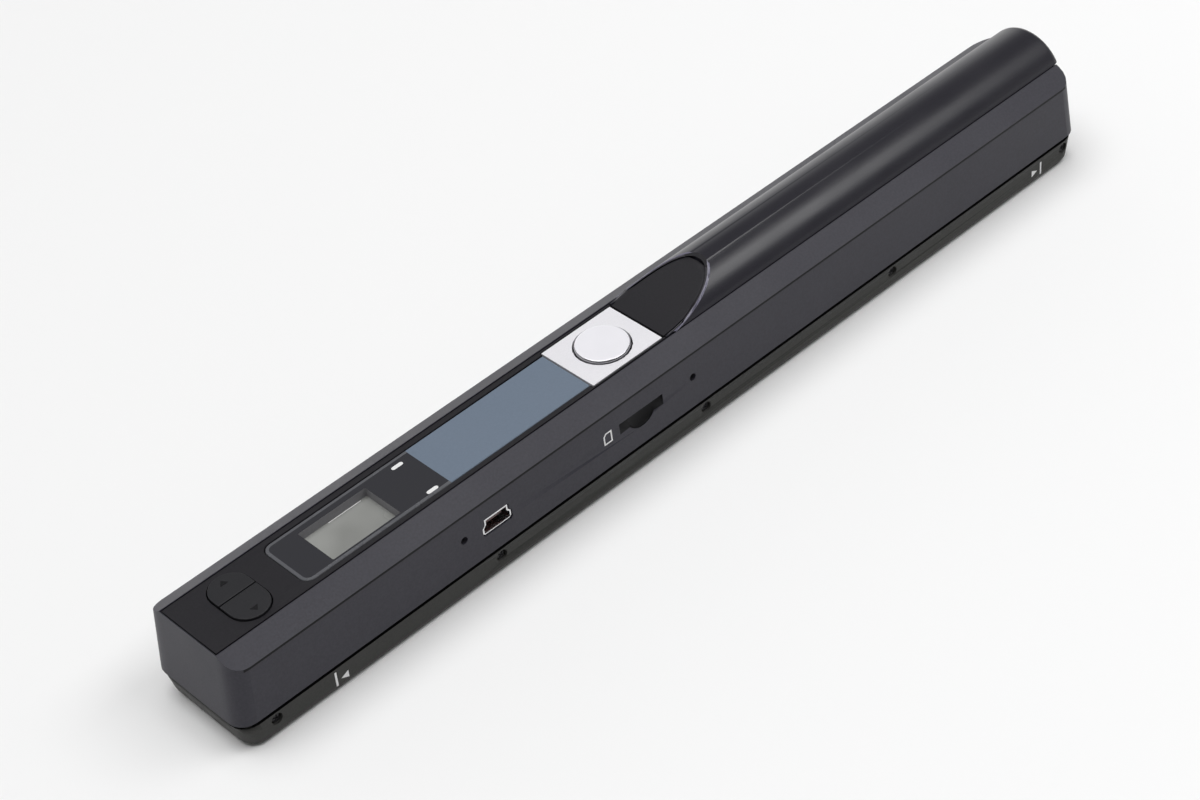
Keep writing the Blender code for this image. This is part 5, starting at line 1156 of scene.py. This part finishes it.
def make_roller(node):
    """A rubber roller: a profile of (radius, place) with chamfered ends, whose radius dips with the peaks
    of a cosine into shallow grooves, turned round its shaft, with the shaft's bore through it."""
    low, high = in_mm(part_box(node))
    start, end = low[0], high[0]
    middle = (low + high) / 2
    outer = (high[1] - low[1]) / 2
    place = np.linspace(start + ROLLER_CHAMFER, end - ROLLER_CHAMFER, ROLLER_RINGS)
    wave = np.cos((place - start) / (end - start) * TURN * ROLLER_GROOVES)
    dip = np.clip((wave - GROOVE_WAVE_LIMIT) / (1 - GROOVE_WAVE_LIMIT), 0, 1)
    profile = np.concatenate([
        [(ROLLER_BORE, start), (outer - ROLLER_CHAMFER, start)],
        np.column_stack([outer - GROOVE_DEPTH * dip, place]),
        [(outer - ROLLER_CHAMFER, end), (ROLLER_BORE, end)],
    ])
    x, y, z = turned(profile, ROLLER_STEPS)
    points = stacked(x, middle[1] + y, middle[2] + z)
    faces = grid_faces(len(profile), ROLLER_STEPS, looped=True)
    item = mesh_object(f"{node}_rubber", points, faces)
    body = "drive_rollers" if node.startswith("drive") else "idler_rollers"
    finished(item, node, body, "roller_rubber")


class WAND_OT_studio(bpy.types.Operator):
    """Makes the floor, the lights and the camera"""

    bl_idname = "wand.studio"
    bl_label = "Studio"

    def execute(self, context):
        make_floor(context.scene.wand_colours.floor)
        make_sky()
        make_lamps()
        make_camera()
        return {"FINISHED"}


def make_floor(color):
    """A wide flat round floor, as rings of points about the wand."""
    finish = Finish("Studio floor", color, 0.9, specular=0.05)
    finish.tint(finish.noise(400.0), scaled(color, 0.99), color)
    z, x, y = turned([(radius, 0) for radius in FLOOR_RINGS], FLOOR_STEPS)
    faces = grid_faces(len(FLOOR_RINGS), FLOOR_STEPS) + [list(range(FLOOR_STEPS))]
    item = mesh_object("studio_floor", stacked(x, y, z), faces)
    if item.data.polygons[0].normal.z < 0:
        item.data.flip_normals()
    item.data.materials.append(finish.material)


def make_sky():
    """A studio sky that is dim overhead and pale round the horizon, more so on the far side."""
    world = bpy.data.worlds.new("Studio")
    bpy.context.scene.world = world
    world.use_nodes = True
    nodes = world.node_tree.nodes
    links = world.node_tree.links
    background = nodes["Background"]
    background.inputs["Strength"].default_value = 1.0
    direction = nodes.new("ShaderNodeTexCoord")
    parts = nodes.new("ShaderNodeSeparateXYZ")
    links.new(direction.outputs["Generated"], parts.inputs["Vector"])
    ramp = nodes.new("ShaderNodeMapRange")
    for name, values in (("From", SKY_HEIGHTS), ("To", SKY_LIGHTS)):
        ramp.inputs[f"{name} Min"].default_value, ramp.inputs[f"{name} Max"].default_value = values
    ramp.interpolation_type = "SMOOTHSTEP"
    lean = nodes.new("ShaderNodeMath")
    lean.operation = "MULTIPLY_ADD"
    lean.inputs[1].default_value = SKY_LEAN
    links.new(parts.outputs["Y"], lean.inputs[0])
    links.new(parts.outputs["Z"], lean.inputs[2])
    links.new(lean.outputs["Value"], ramp.inputs["Value"])
    links.new(ramp.outputs["Result"], background.inputs["Color"])


def make_lamps():
    """The lamps, each turned to shine from its own direction."""
    for name, kind, way, strength, size in LAMPS:
        light = bpy.data.lights.new(name, kind)
        light.energy = strength
        if kind == "SUN":
            light.angle = size
        else:
            light.shape = "RECTANGLE"
            light.size = size[0] * MM
            light.size_y = size[1] * MM
        item = linked(name, light)
        out = Vector(way).normalized()
        side = Vector((1, 0, 0)) - out * out.x
        side.normalize()
        axes = Matrix((side, out.cross(side), out)).transposed()
        item.matrix_world = Matrix.Translation(out * LAMP_DISTANCE * MM) @ axes.to_4x4()


def make_camera():
    """The camera at the photograph's place, its axes from the fit's right, up and forward directions."""
    camera = bpy.data.cameras.new("Camera")
    camera.sensor_width = CAMERA_SENSOR
    camera.lens = CAMERA_LENS
    camera.clip_start, camera.clip_end = CAMERA_CLIP_M
    item = linked("Camera", camera)
    axes = Matrix((CAMERA_RIGHT, CAMERA_UP, tuple(-c for c in CAMERA_FORWARD))).transposed()
    item.matrix_world = Matrix.Translation(Vector(CAMERA_PLACE) * MM) @ axes.to_4x4()
    bpy.context.scene.camera = item


OPERATORS = (
    WAND_OT_materials,
    WAND_OT_shells,
    WAND_OT_cover,
    WAND_OT_panel,
    WAND_OT_lens,
    WAND_OT_button,
    WAND_OT_marks,
    WAND_OT_screws,
    WAND_OT_sockets,
    WAND_OT_power,
    WAND_OT_rollers,
    WAND_OT_studio,
)


class WAND_PT_panel(bpy.types.Panel):
    """Lists the wand's settings and makers"""

    bl_idname = "WAND_PT_panel"
    bl_label = "Wand scanner"
    bl_space_type = "VIEW_3D"
    bl_region_type = "UI"
    bl_category = "Wand scanner"

    def draw(self, context):
        for group in (context.scene.wand_colours, context.scene.wand_sizes):
            for name in group.__annotations__:
                self.layout.prop(group, name)
        for operator in OPERATORS:
            self.layout.operator(operator.bl_idname)


CLASSES = (WandColours, WandSizes, *OPERATORS, WAND_PT_panel)


def register():
    for item in CLASSES:
        bpy.utils.register_class(item)
    bpy.types.Scene.wand_colours = bpy.props.PointerProperty(type=WandColours)
    bpy.types.Scene.wand_sizes = bpy.props.PointerProperty(type=WandSizes)


def unregister():
    del bpy.types.Scene.wand_sizes
    del bpy.types.Scene.wand_colours
    for item in reversed(CLASSES):
        bpy.utils.unregister_class(item)


def main():
    """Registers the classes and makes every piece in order."""
    register()
    bpy.context.scene.view_settings.view_transform = "Standard"
    for operator in OPERATORS:
        group, name = operator.bl_idname.split(".")
        getattr(getattr(bpy.ops, group), name)()


if __name__ == "__main__":
    main()
